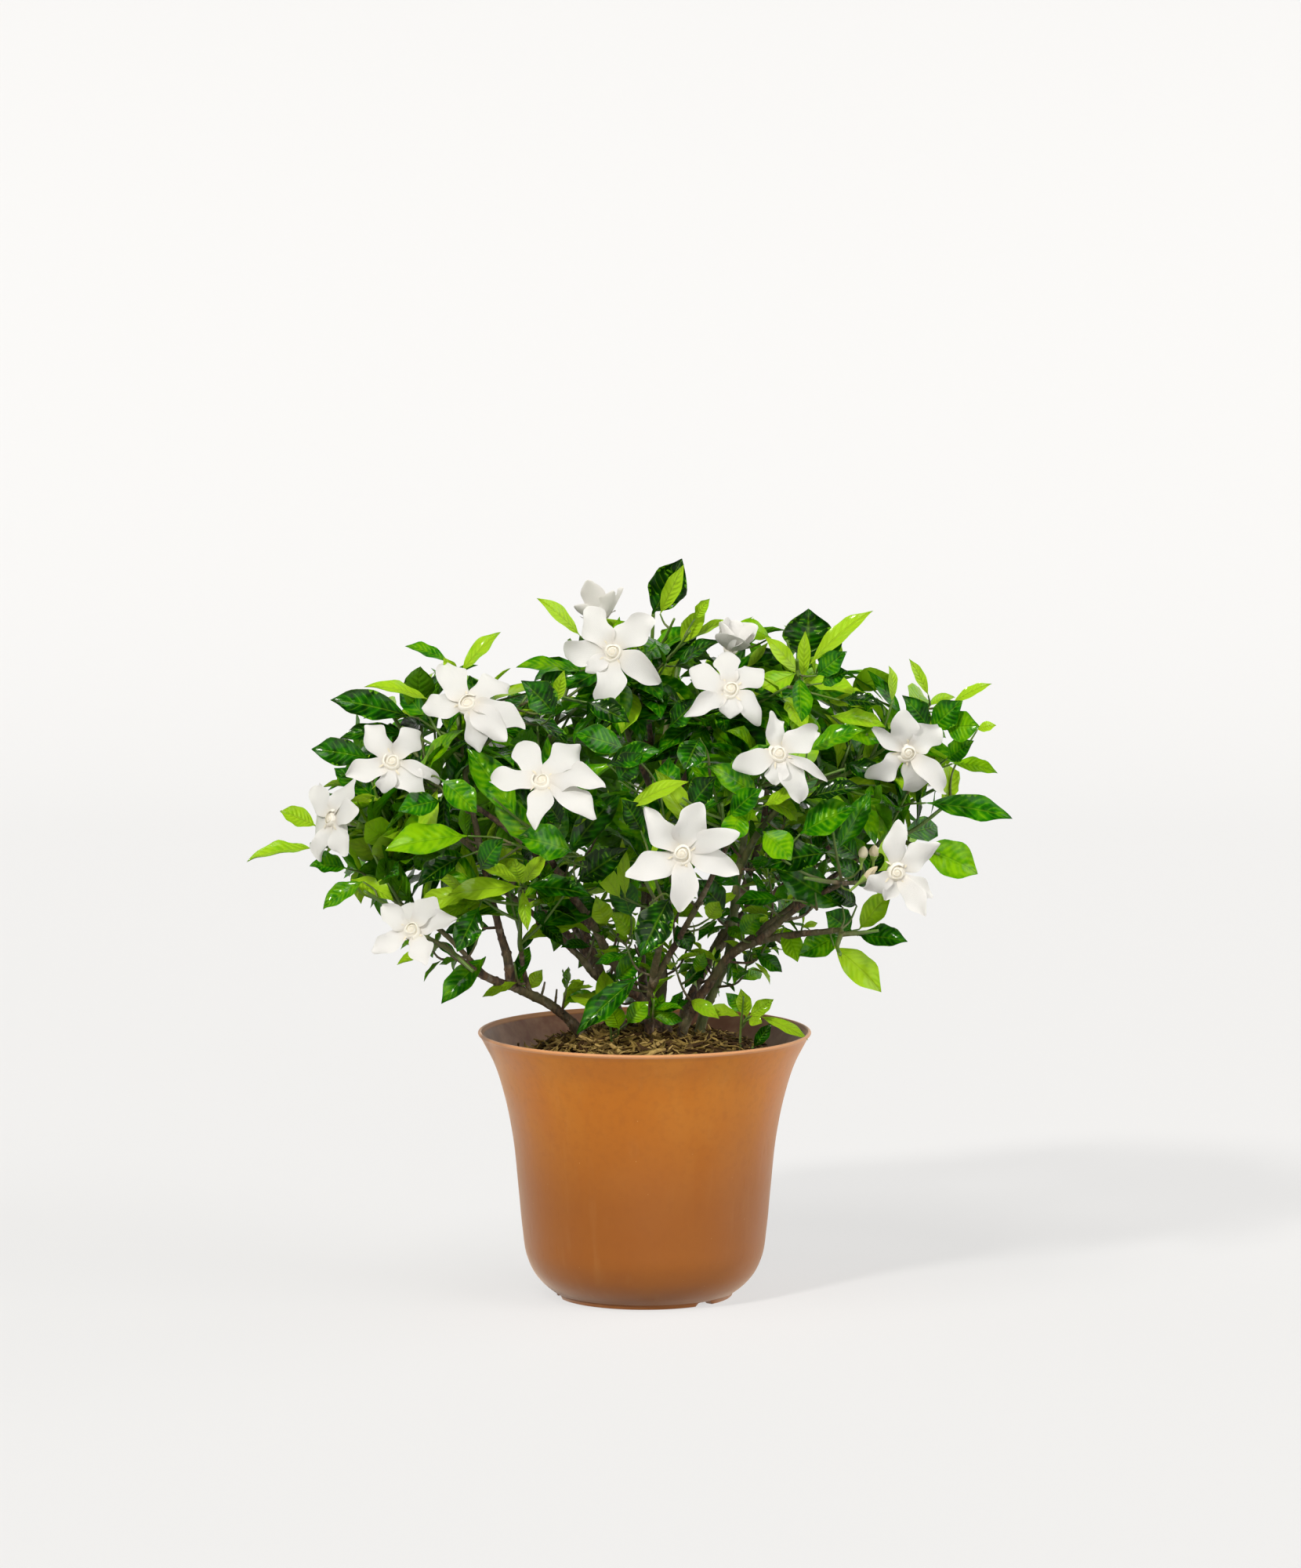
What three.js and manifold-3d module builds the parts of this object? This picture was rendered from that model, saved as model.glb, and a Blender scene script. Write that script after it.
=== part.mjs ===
// A gardenia bush in a flared pot: nine woody stems rise from the mulch, fork, and end in
// green leafy branches, and the open white flowers stand on the tips of the branches.
// Millimetres, +Z up, the front of the plant faces -Y, the origin is on the pot's axis at the floor.
import * as THREE from 'three';
import { mergeVertices } from 'three/addons/utils/BufferGeometryUtils.js';
import Module from 'manifold-3d';

const wasm = await Module();
wasm.setup();

// ---------------------------------------------------------------- driving dimensions

const GAP = 0.35;            // clear space between two pieces that touch
const POT_HEIGHT = 179;
const RIM_RADIUS = 111.5;
const WALL = 2.4;
const FOOT_RADIUS = 59;
const FOOT_WIDTH = 6;
const FOOT_HEIGHT = 3.4;
const FLOOR_TOP = FOOT_HEIGHT + WALL;
const POT_SIDES = 32;
const SLIVER = 0.08;         // detail under this size is dropped where bodies join

const SOIL_EDGE = 158;       // height of the soil at the pot's wall
const SOIL_CROWN = 166;      // and round the stems
const SOIL_LEVEL_RADIUS = 34;
const MULCH_THICKNESS = 7;
const MULCH_RADIUS = 74;
const MULCH_EDGE = 3;
const MULCH_SHIFT = 7;       // the mulch lies a little to the right
const ROOTING_HEIGHT = 146;  // how deep the stems reach into the soil

const DRAIN_COUNT = 3;       // drain holes, with a notch in the foot ring beside each
const DRAIN_RADIUS = 4;
const DRAIN_CIRCLE = 40;
const NOTCH_WIDTH = 13;
const NOTCH_HEIGHT = 2.6;
const NOTCH_TURN = 43;       // degrees from the front, towards the right

const STEM_SIDES = 5;
const TWIG_SIDES = 3;
const TWIG_STEPS = 3;
const TWIG_RADIUS = 1.5;
const LEAF = { length: 56, width: 25, thickness: 1 };
const LEAF_BEND = 0.12;      // how far a blade's tip bends back, as a share of its length
const FLOWER_WIDTH = 70;     // of a full open flower
const PETAL = { width: 18, thickness: 0.9 };
const PETAL_CUP = 0.16;      // how far the petals rise from a flat face
const PETAL_BEND = 0.1;
const THROAT_LENGTH = 20;    // the flower's narrow throat, behind its petals
const THROAT_RADII = [1.7, 4];
const CALYX_LENGTH = 9;
const CALYX_RADIUS = 3.2;
const STALK_LENGTH = 7;
const PETALS = 6;
const SWIRL_RADIUS = 6.3;    // the furled inner petals in the middle of the flower
const SWIRL_HEIGHT = 7;
const PETAL_START = 4;       // the petals spring from the seat this far from its middle

// ---------------------------------------------------------------- solids

const random = seeded(11);

function seeded(seed) {
  let state = seed;
  return () => {
    state = (Math.imul(state, 1664525) + 1013904223) >>> 0;
    return state / 4294967296;
  };
}

const vector = (p) => new THREE.Vector3(p[0], p[1], p[2]);

function signedVolume(position, index) {
  const corner = [vector([0, 0, 0]), vector([0, 0, 0]), vector([0, 0, 0])];
  let sum = 0;
  for (let i = 0; i < index.length; i += 3) {
    corner.forEach((c, k) => c.fromBufferAttribute(position, index[i + k]));
    sum += corner[0].dot(corner[1].cross(corner[2])) / 6;
  }
  return sum;
}

// A closed geometry as a solid: shared corners merged, slivers dropped, faces outwards.
function solid(geometry) {
  const bare = geometry.clone();
  bare.deleteAttribute('normal');
  bare.deleteAttribute('uv');
  const merged = mergeVertices(bare, 1e-4);
  const index = [];
  const all = merged.index.array;
  for (let i = 0; i < all.length; i += 3) {
    const [a, b, c] = [all[i], all[i + 1], all[i + 2]];
    if (a !== b && b !== c && c !== a) {
      index.push(a, b, c);
    }
  }
  if (signedVolume(merged.attributes.position, index) < 0) {
    index.reverse();
  }
  return new wasm.Manifold(new wasm.Mesh({
    numProp: 3,
    vertProperties: Float32Array.from(merged.attributes.position.array),
    triVerts: Uint32Array.from(index),
  }));
}

function geometryOf(body) {
  const mesh = body.getMesh();
  const geometry = new THREE.BufferGeometry();
  geometry.setAttribute('position', new THREE.BufferAttribute(mesh.vertProperties, 3));
  geometry.setIndex(new THREE.BufferAttribute(mesh.triVerts, 1));
  geometry.computeVertexNormals();
  return geometry;
}

// Bodies joined into one, with the slivers along their seams taken out.
const joined = (bodies) => bodies.reduce((sum, body) => sum.add(body)).asOriginal().simplify(SLIVER);

// A round bar that narrows from one radius to another along a smooth path.
function bar(path, startRadius, endRadius, sides, steps) {
  const curve = new THREE.CatmullRomCurve3(path.map(vector), false, 'centripetal');
  const frames = curve.computeFrenetFrames(steps);
  const geometry = new THREE.CylinderGeometry(endRadius, startRadius, 1, sides, steps);
  const position = geometry.attributes.position;
  for (let i = 0; i < position.count; i += 1) {
    const step = Math.round((position.getY(i) + 0.5) * steps);
    const point = curve.getPointAt(step / steps)
      .addScaledVector(frames.normals[step], position.getX(i))
      .addScaledVector(frames.binormals[step], -position.getZ(i));
    position.setXYZ(i, point.x, point.y, point.z);
  }
  return solid(geometry);
}

// A thin pointed blade, a leaf or a petal: a spindle of four sides, flattened, bent back along
// its length. outline holds [share of the length, share of the half width] between the two ends.
function blade(base, along, face, size, outline, bend, grow = 0) {
  const length = size.length + grow;
  const profile = [[0, 0], ...outline, [1, 0]]
    .map(([share, wide]) => new THREE.Vector2(wide * (size.width / 2 + grow), share * length));
  const geometry = new THREE.LatheGeometry(profile, 4);
  const side = along.clone().cross(face).normalize();
  const out = side.clone().cross(along).normalize();
  const position = geometry.attributes.position;
  for (let i = 0; i < position.count; i += 1) {
    const [x, y, z] = [position.getX(i), position.getY(i), position.getZ(i)];
    const onMidrib = Math.abs(z) > Math.abs(x) && Math.abs(z) > 0.01;
    const lift = onMidrib ? Math.sign(z) * (size.thickness / 2 + grow) : 0;
    const point = base.clone()
      .addScaledVector(along, y)
      .addScaledVector(side, onMidrib ? 0 : x)
      .addScaledVector(out, lift - bend * length * (y / length) ** 2);
    position.setXYZ(i, point.x, point.y, point.z);
  }
  return solid(geometry);
}

// ---------------------------------------------------------------- free space

const placed = [];

function near(a, b) {
  const [p, q] = [a.boundingBox(), b.boundingBox()];
  return [0, 1, 2].every((k) => p.min[k] < q.max[k] && q.min[k] < p.max[k]);
}

function crossed(body, owner) {
  return placed.find((other) => other.owner !== owner && near(body, other.body)
    && body.intersect(other.body).volume() > 1e-5);
}

// Puts a body where it must be, and stops if a body of another piece is in its way.
function settle(body, owner) {
  const other = crossed(body, owner);
  if (other) {
    throw new Error(`${owner} crosses ${other.owner}`);
  }
  placed.push({ body, owner });
  return body;
}

const nodes = [];

function addNode(name, body, colour, roughness) {
  const material = new THREE.MeshStandardMaterial({ color: colour, roughness, metalness: 0 });
  const mesh = new THREE.Mesh(geometryOf(body), material);
  mesh.name = name;
  nodes.push(mesh);
}

// ---------------------------------------------------------------- pot, soil and mulch

// The pot's outer line from its round bottom to just under the lip, as [radius, height].
const POT_LINE = new THREE.SplineCurve([
  [FOOT_RADIUS + 2, FOOT_HEIGHT], [67, 8], [74, 16], [79, 27], [82, 46], [84.5, 72],
  [88.6, 110], [93.8, 135.6], [101, 158.4], [RIM_RADIUS - 2, POT_HEIGHT - 4],
].map(([r, z]) => new THREE.Vector2(r, z)));

function wallRadius(height) {
  let [low, high] = [0, 1];
  for (let i = 0; i < 24; i += 1) {
    const middle = (low + high) / 2;
    if (POT_LINE.getPoint(middle).y < height) {
      low = middle;
    } else {
      high = middle;
    }
  }
  return POT_LINE.getPoint(low).x - WALL;
}

function turned(profile, sides) {
  const geometry = new THREE.LatheGeometry(profile.map(([r, z]) => new THREE.Vector2(r, z)), sides);
  return geometry.rotateX(Math.PI / 2);
}

function pot() {
  const outer = POT_LINE.getPoints(11).map((p) => [p.x, p.y]);
  const inner = outer.filter(([, z]) => z > FLOOR_TOP + 1).map(([r, z]) => [r - WALL, z]).reverse();
  const profile = [
    [0, FOOT_HEIGHT], [FOOT_RADIUS - FOOT_WIDTH, FOOT_HEIGHT], [FOOT_RADIUS - FOOT_WIDTH, 0],
    [FOOT_RADIUS, 0], ...outer,
    [RIM_RADIUS, POT_HEIGHT - 2], [RIM_RADIUS - 0.8, POT_HEIGHT], [RIM_RADIUS - 2.6, POT_HEIGHT],
    ...inner, [FOOT_RADIUS + 2, FLOOR_TOP], [0, FLOOR_TOP],
  ];
  let body = solid(turned(profile, POT_SIDES));
  for (let k = 0; k < DRAIN_COUNT; k += 1) {
    const turn = THREE.MathUtils.degToRad(NOTCH_TURN - 90 + (360 / DRAIN_COUNT) * k);
    const hole = new THREE.CylinderGeometry(DRAIN_RADIUS, DRAIN_RADIUS, 4 * WALL, 8);
    hole.rotateX(Math.PI / 2);
    hole.translate(DRAIN_CIRCLE * Math.cos(turn), DRAIN_CIRCLE * Math.sin(turn), FLOOR_TOP);
    const notch = new THREE.BoxGeometry(4 * FOOT_WIDTH, NOTCH_WIDTH, 2 * NOTCH_HEIGHT);
    notch.translate(FOOT_RADIUS - FOOT_WIDTH / 2, 0, 0);
    notch.rotateZ(turn);
    body = body.subtract(solid(hole)).subtract(solid(notch));
  }
  return body;
}

// The soil is level round the stems and falls from there to the wall.
const SOIL_RADIUS = wallRadius(SOIL_EDGE) - 1;
const soilTop = (radius) => THREE.MathUtils.mapLinear(
  Math.max(radius, SOIL_LEVEL_RADIUS), SOIL_LEVEL_RADIUS, SOIL_RADIUS, SOIL_CROWN, SOIL_EDGE,
);

function soil(lift = 0) {
  const wall = [12, 40, 75, 115, 135, 147].map((z) => [wallRadius(z) - GAP, z]);
  const profile = [
    [0, FLOOR_TOP + GAP], [FOOT_RADIUS, FLOOR_TOP + GAP], ...wall,
    [SOIL_RADIUS, SOIL_EDGE], [SOIL_LEVEL_RADIUS, SOIL_CROWN], [0, SOIL_CROWN],
  ];
  return solid(turned(profile, POT_SIDES).translate(0, 0, lift));
}

// The loose fibre on the soil: thickest in the middle, ragged on top, thin at its edge.
function mulch() {
  const rings = [0.34, 0.68, 0.92];
  const top = rings.map((share) => [share * MULCH_RADIUS, 1]).reverse();
  const under = rings.map((share) => [share * MULCH_RADIUS, -1]);
  const geometry = turned([[0, -1], ...under, [MULCH_RADIUS, 0], ...top, [0, 1]], 16);
  const merged = mergeVertices(stripped(geometry), 1e-3);
  const position = merged.attributes.position;
  for (let i = 0; i < position.count; i += 1) {
    const [x, y, side] = [position.getX(i) + MULCH_SHIFT, position.getY(i), position.getZ(i)];
    const share = Math.hypot(x - MULCH_SHIFT, y) / MULCH_RADIUS;
    const floor = soilTop(Math.hypot(x, y)) - MULCH_EDGE / 2;
    const thick = MULCH_THICKNESS * (1.25 - share ** 2) + 2.2 * (random() - 0.5);
    const middle = side > -0.5 && side < 0.5 ? MULCH_EDGE : 0;
    position.setXYZ(i, x, y, floor + middle + (side > 0.5 ? MULCH_EDGE / 2 + thick : 0));
  }
  return solid(merged).subtract(soil(GAP));
}

function stripped(geometry) {
  geometry.deleteAttribute('normal');
  geometry.deleteAttribute('uv');
  return geometry;
}

// ---------------------------------------------------------------- woody stems

// Each stem: its main path from under the soil to its end, then its forks, as points chosen
// along the real stems. A fork starts inside the wood that it leaves.
const STEMS = {
  stem_low_left: {
    radii: [3.9, 1.9],
    path: [[-34, -8, ROOTING_HEIGHT], [-42, -11, 177], [-58, -15, 195], [-75, -22, 206],
      [-89, -30, 213], [-106, -45, 222], [-122, -65, 236], [-132, -85, 248]],
    forks: [
      { radii: [2.9, 1.7], path: [[-89, -30, 213], [-90, -37, 228], [-96, -45, 253], [-103, -56, 283],
        [-109, -72, 316], [-117, -88, 358]] },
      { radii: [2.0, 1.5], path: [[-106, -45, 222], [-126, -50, 245], [-146, -62, 265]] },
      { radii: [1.8, 1.5], path: [[-76, -22, 206], [-80, -28, 222], [-82, -45, 240]] },
    ],
  },
  stem_centre_left: {
    radii: [4.0, 1.9],
    path: [[17, -3, ROOTING_HEIGHT], [14, -3, 182], [-6, -8, 205], [-24, -20, 233], [-34, -32, 254],
      [-50, -52, 280], [-62, -80, 305]],
    forks: [
      { radii: [2.6, 1.6], path: [[-6, -8, 205], [-28, -12, 214], [-44, -18, 232], [-62, -25, 250],
        [-90, -33, 275], [-118, -38, 292]] },
      { radii: [2.4, 1.6], path: [[-34, -32, 254], [-60, -47, 290], [-90, -62, 322], [-122, -76, 346]] },
    ],
  },
  stem_centre: {
    radii: [4.2, 1.9],
    path: [[5, 7, ROOTING_HEIGHT], [8, 8, 185], [12, 6, 215], [9, 4, 240], [14, 0, 270],
      [10, -8, 312], [2, -22, 350], [-8, -36, 374]],
    forks: [
      { radii: [2.6, 1.6], path: [[14, 0, 270], [10, 10, 320], [5, 8, 365], [2, -2, 398]] },
      { radii: [2.4, 1.6], path: [[10, -8, 312], [24, -16, 345], [38, -30, 374]] },
    ],
  },
  stem_front: {
    radii: [3.4, 1.8],
    path: [[4, -17, ROOTING_HEIGHT], [3, -18, 182], [5, -38, 215], [10, -64, 245], [14, -96, 268]],
    forks: [
      { radii: [2.2, 1.6], path: [[5, -38, 215], [24, -64, 252], [42, -95, 290], [54, -116, 318]] },
    ],
  },
  stem_right: {
    radii: [3.8, 1.9],
    path: [[24, -14, ROOTING_HEIGHT], [26, -14, 182], [34, -17, 199], [46, -24, 218], [58, -32, 235],
      [76, -42, 245], [90, -50, 249], [125, -78, 257]],
    forks: [
      { radii: [2.3, 1.6], path: [[76, -42, 245], [94, -60, 264], [112, -84, 280], [126, -98, 289]] },
      { radii: [2.3, 1.6], path: [[58, -32, 235], [90, -26, 260], [124, -26, 285], [150, -28, 304]] },
    ],
  },
  stem_right_upright: {
    radii: [3.6, 1.8],
    path: [[34, 3, ROOTING_HEIGHT], [38, 4, 183], [48, 6, 209], [56, 4, 229], [59, 0, 250],
      [63, -5, 285], [80, -17, 320], [104, -34, 344]],
    forks: [
      { radii: [2.3, 1.6], path: [[63, -5, 285], [70, -4, 330], [82, -20, 372], [92, -30, 394]] },
    ],
  },
  stem_back_left: {
    radii: [3.8, 1.8],
    path: [[-14, 10, ROOTING_HEIGHT], [-16, 12, 182], [-32, 30, 220], [-50, 46, 265], [-62, 60, 310],
      [-70, 68, 344]],
    forks: [
      { radii: [2.5, 1.6], path: [[-32, 30, 220], [-70, 45, 255], [-105, 58, 285], [-128, 62, 304]] },
      { radii: [2.3, 1.6], path: [[-32, 30, 220], [-52, 72, 244], [-75, 105, 261]] },
    ],
  },
  stem_back: {
    radii: [3.6, 1.8],
    path: [[1, 24, ROOTING_HEIGHT], [0, 26, 182], [-2, 52, 225], [0, 86, 262], [0, 114, 289]],
    forks: [
      { radii: [2.4, 1.6], path: [[-2, 52, 225], [6, 60, 280], [12, 70, 330], [14, 75, 368]] },
    ],
  },
  stem_back_right: {
    radii: [3.7, 1.8],
    path: [[25, 20, ROOTING_HEIGHT], [26, 22, 182], [46, 42, 225], [66, 52, 265], [80, 60, 310],
      [84, 70, 344]],
    forks: [
      { radii: [2.4, 1.6], path: [[46, 42, 225], [80, 50, 258], [112, 58, 285], [130, 60, 299]] },
      { radii: [2.3, 1.6], path: [[46, 42, 225], [64, 76, 245], [82, 108, 261]] },
    ],
  },
};

function stem(name, { radii, path, forks }) {
  const parts = [bar(path, radii[0], radii[1], STEM_SIDES, path.length - 1)];
  for (const fork of forks) {
    parts.push(bar(fork.path, fork.radii[0], fork.radii[1], STEM_SIDES, fork.path.length - 1));
  }
  parts.forEach((part) => settle(part, name));
  return joined(parts);
}

// The hole that a stem leaves in the soil and the mulch.
function rootHole({ radii, path }) {
  return bar(path, radii[0] + GAP, radii[1] + GAP, STEM_SIDES, path.length - 1);
}

// ---------------------------------------------------------------- flowers

// Each flower: the middle of its face, the way it faces, its width and its turn in degrees.
const FLOWERS = {
  flower_crown_front: { at: [-21, -97, 443], facing: [-0.05, -0.95, 0.25], width: 70, turn: 98 },
  flower_crown_back: { at: [-30, -4, 455], facing: [-0.3, 0.5, 0.8], width: 46, turn: 20 },
  flower_half_open: { at: [57, -46, 441], facing: [0.25, -0.3, 0.9], width: 44, turn: 10 },
  flower_left_top: { at: [-115, -118, 411], facing: [-0.1, -0.8, 0.6], width: 70, turn: 70 },
  flower_left: { at: [-164, -116, 373], facing: [-0.1, -0.92, 0.35], width: 60, turn: 84 },
  flower_far_left: { at: [-206, -72, 330], facing: [-0.75, -0.6, 0.25], width: 54, turn: 20 },
  flower_low_left: { at: [-152, -120, 263], facing: [-0.1, -0.85, 0.5], width: 54, turn: 30 },
  flower_centre_left: { at: [-66, -166, 366], facing: [-0.15, -0.8, 0.55], width: 72, turn: 15 },
  flower_upper_right: { at: [56, -122, 421], facing: [0.1, -0.9, 0.4], width: 56, turn: 92 },
  flower_right_centre: { at: [87, -150, 382], facing: [0.1, -0.9, 0.3], width: 60, turn: 40 },
  flower_front: { at: [24, -184, 321], facing: [0.05, -0.98, 0.15], width: 70, turn: 80 },
  flower_right: { at: [172, -98, 377], facing: [0.25, -0.9, -0.05], width: 60, turn: 60 },
  flower_low_right: { at: [164, -132, 302], facing: [0.15, -0.95, 0.1], width: 56, turn: 95 },
  flower_back_left: { at: [-90, 130, 362], facing: [-0.3, 0.85, 0.35], width: 62, turn: 20 },
  flower_back: { at: [12, 186, 348], facing: [0.05, 0.95, 0.3], width: 66, turn: 75 },
  flower_back_right: { at: [172, 106, 352], facing: [0.6, 0.7, 0.35], width: 58, turn: 50 },
};
const PETAL_OUTLINE = [[0.16, 0.42], [0.62, 1]];

const facingOf = (flower) => vector(flower.facing).normalize();

// The point behind the petals where the flower's throat ends in the green cup of its branch.
const heelOf = (flower) => vector(flower.at).addScaledVector(facingOf(flower), -THROAT_LENGTH);

function petals(flower) {
  const facing = facingOf(flower);
  const right = new THREE.Vector3(0, 0, 1).cross(facing).normalize();
  const up = facing.clone().cross(right);
  const size = {
    length: flower.width / 2 - PETAL_START,
    width: PETAL.width * (flower.width / FLOWER_WIDTH),
    thickness: PETAL.thickness,
  };
  return Array.from({ length: PETALS }, (_, k) => {
    const angle = THREE.MathUtils.degToRad(flower.turn + (360 / PETALS) * k);
    const spoke = right.clone().multiplyScalar(Math.cos(angle)).addScaledVector(up, Math.sin(angle));
    const base = vector(flower.at).addScaledVector(spoke, PETAL_START);
    const along = spoke.addScaledVector(facing, PETAL_CUP).normalize();
    return blade(base, along, facing, size, PETAL_OUTLINE, PETAL_BEND);
  });
}

function flower(name, shape) {
  const facing = facingOf(shape);
  const seat = vector(shape.at).addScaledVector(facing, -1.5).toArray();
  const front = vector(shape.at).addScaledVector(facing, SWIRL_HEIGHT).toArray();
  const throat = bar([heelOf(shape).toArray(), shape.at], ...THROAT_RADII, 5, 1);
  const swirl = bar([seat, front], SWIRL_RADIUS, SWIRL_RADIUS / 2, 6, 1);
  const parts = [throat, swirl, ...petals(shape)];
  parts.forEach((part) => settle(part, name));
  return joined(parts);
}

// ---------------------------------------------------------------- leafy branches

// Each branch: the end of the wood that it grows from, and its tips, which are points or flowers.
const BRANCHES = {
  branch_low_left: { root: [-132, -85, 248], tips: ['flower_low_left', [-112, -108, 234], [-162, -66, 262]] },
  branch_left_upright: { root: [-117, -88, 358], tips: ['flower_left_top', [-127, -52, 424]] },
  branch_left_side: { root: [-146, -62, 265], tips: [[-184, -84, 284], [-190, -36, 292]] },
  branch_young_shoot: { root: [-82, -45, 240], tips: [[-82, -82, 286]] },
  branch_centre_left: { root: [-62, -80, 305], tips: ['flower_centre_left', [-58, -142, 314]] },
  branch_far_left: { root: [-118, -38, 292], tips: ['flower_far_left', [-222, -28, 308]] },
  branch_left_high: { root: [-122, -76, 346], tips: ['flower_left', [-168, -52, 400]] },
  branch_crown_front: { root: [-8, -36, 374], tips: ['flower_crown_front', [-50, -40, 446]] },
  branch_crown_top: { root: [2, -2, 398], tips: [[16, -16, 460], 'flower_crown_back'] },
  branch_crown_right: { root: [38, -30, 374], tips: ['flower_half_open', 'flower_upper_right'] },
  branch_front_low: { root: [14, -96, 268], tips: ['flower_front', [4, -132, 282]] },
  branch_front_high: { root: [54, -116, 318], tips: [[50, -158, 350], 'flower_right_centre'] },
  branch_right_low: { root: [125, -78, 257], tips: [[128, -116, 246], [154, -86, 258]] },
  branch_right_front: { root: [126, -98, 289], tips: ['flower_low_right', [104, -142, 300]] },
  branch_far_right: { root: [150, -28, 304], tips: [[203, -26, 336], [194, -66, 306]] },
  branch_right_high: { root: [104, -34, 344], tips: ['flower_right', [190, -12, 400]] },
  branch_right_crown: { root: [92, -30, 394], tips: [[126, -24, 438], [100, -78, 436]] },
  branch_back_left_crown: { root: [-70, 68, 344], tips: ['flower_back_left', [-42, 80, 436]] },
  branch_back_left_far: { root: [-128, 62, 304], tips: [[-176, 92, 344], [-198, 38, 346]] },
  branch_back_left_low: { root: [-75, 105, 261], tips: [[-104, 156, 280], [-146, 124, 292]] },
  branch_back: { root: [0, 114, 289], tips: ['flower_back', [-20, 166, 286]] },
  branch_back_crown: { root: [14, 75, 368], tips: [[26, 94, 444], [-12, 144, 400]] },
  branch_back_right_crown: { root: [84, 70, 344], tips: [[104, 72, 418], [62, 146, 392]] },
  branch_back_right_far: { root: [130, 60, 299], tips: ['flower_back_right', [200, 34, 340]] },
  branch_back_right_low: { root: [82, 108, 261], tips: [[104, 160, 280], [148, 118, 288]] },
};

// Short green shoots that come up through the mulch, from under the soil to their tips.
const SPROUTS = {
  sprout_left: [[-22, -34, ROOTING_HEIGHT], [-22, -37, 180], [-26, -56, 206]],
  sprout_right: [[64, -18, ROOTING_HEIGHT], [64, -20, 180], [66, -28, 206]],
};

// Three closed buds beside the low right flower: a round one, a toothed one and a long one. Each
// has a short green stalk that stands on a thin twig of its branch.
const BUDS = {
  bud_round: { at: [141, -122, 303], to: [143, -128, 319], radius: 3.3, branch: 'branch_right_front' },
  bud_upper: { at: [149, -117, 302], to: [150, -120, 319], radius: 3.5, branch: 'branch_right_front' },
  bud_lower: { at: [134, -116, 288], to: [152, -122, 305], radius: 3, branch: 'branch_right_front' },
};
const BUD_TWIG_RADIUS = 1.1;
const BUD_TWIG_SHARE = 0.4;   // where the buds' twigs leave the branch's first twig
const BUD_STALK = 0.45;       // the share of a bud's length where it swells from its stalk
const BUD_BELLY = 0.72;       // and where it is widest

const LEAF_OUTLINE = [[0.1, 0.16], [0.54, 1]];
const LEAF_TRIES = 10;
const LEAF_SPACING = 2.2;    // the leaves of a whorl leave the twig just above one another

// The way that the wood points where it ends at a branch's root.
function woodDirection(root) {
  const paths = Object.values(STEMS).flatMap(({ path, forks }) => [path, ...forks.map((f) => f.path)]);
  const path = paths.find((points) => vector(points.at(-1)).distanceTo(vector(root)) < 0.01);
  return vector(path.at(-1)).sub(vector(path.at(-2))).normalize();
}

function sagging(start, end) {
  const middle = start.clone().lerp(end, 0.5);
  middle.z -= 0.06 * start.distanceTo(end);
  return middle;
}

// A branch's first twig goes on in line with the wood, then turns up to its tip. Its other
// twigs leave the first one a third of the way along it.
function twigPath(root, tip, firstTwig) {
  const [start, end] = [vector(root), vector(tip)];
  if (firstTwig) {
    const fork = twigAxis(firstTwig, 0.3);
    return [fork, sagging(fork, end), end].map((point) => point.toArray());
  }
  const onward = woodDirection(root);
  const begin = start.clone().addScaledVector(onward, GAP);
  const straight = start.clone().addScaledVector(onward, 4);
  return [begin, straight, sagging(start, end), end].map((point) => point.toArray());
}

// A point on the twig's axis, which runs straight between the steps of its bar.
function twigAxis(curve, share) {
  const place = Math.min(share, 0.96) * TWIG_STEPS;
  const step = Math.floor(place);
  return curve.getPointAt(step / TWIG_STEPS).lerp(curve.getPointAt((step + 1) / TWIG_STEPS), place - step);
}

// One whorl: leaves set round the twig at one height, each turned on until it is in free space.
function whorl(curve, share, count, scale, owner) {
  const tangent = curve.getTangentAt(share);
  const right = tangent.clone().cross(new THREE.Vector3(0.3, 0.2, 1)).normalize();
  const up = right.clone().cross(tangent);
  const first = random() * 2 * Math.PI;
  const leaves = [];
  for (let k = 0; k < count; k += 1) {
    for (let attempt = 0; attempt < LEAF_TRIES; attempt += 1) {
      const angle = first + (2 * Math.PI * k) / count + 0.35 * attempt;
      const size = { ...LEAF, length: LEAF.length * scale * (1 - 0.03 * attempt), width: LEAF.width * scale };
      const spoke = right.clone().multiplyScalar(Math.cos(angle)).addScaledVector(up, Math.sin(angle));
      const along = spoke.multiplyScalar(0.8).addScaledVector(tangent, 0.6).normalize();
      const base = twigAxis(curve, share + (LEAF_SPACING / curve.getLength()) * (k - 1))
        .addScaledVector(along, -0.8 * TWIG_RADIUS);
      const grown = blade(base, along, tangent, size, LEAF_OUTLINE, LEAF_BEND, GAP);
      const tip = base.clone().addScaledVector(along, size.length);
      if (!crossed(grown, owner) && insideCanopy(tip)) {
        leaves.push(blade(base, along, tangent, size, LEAF_OUTLINE, LEAF_BEND));
        break;
      }
    }
  }
  return leaves;
}

const CANOPY = { x: 254, y: 198, top: 490, low: 188 };

const insideCanopy = (p) => Math.abs(p.x) < CANOPY.x && Math.abs(p.y) < CANOPY.y
  && p.z < CANOPY.top && p.z > CANOPY.low;

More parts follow.
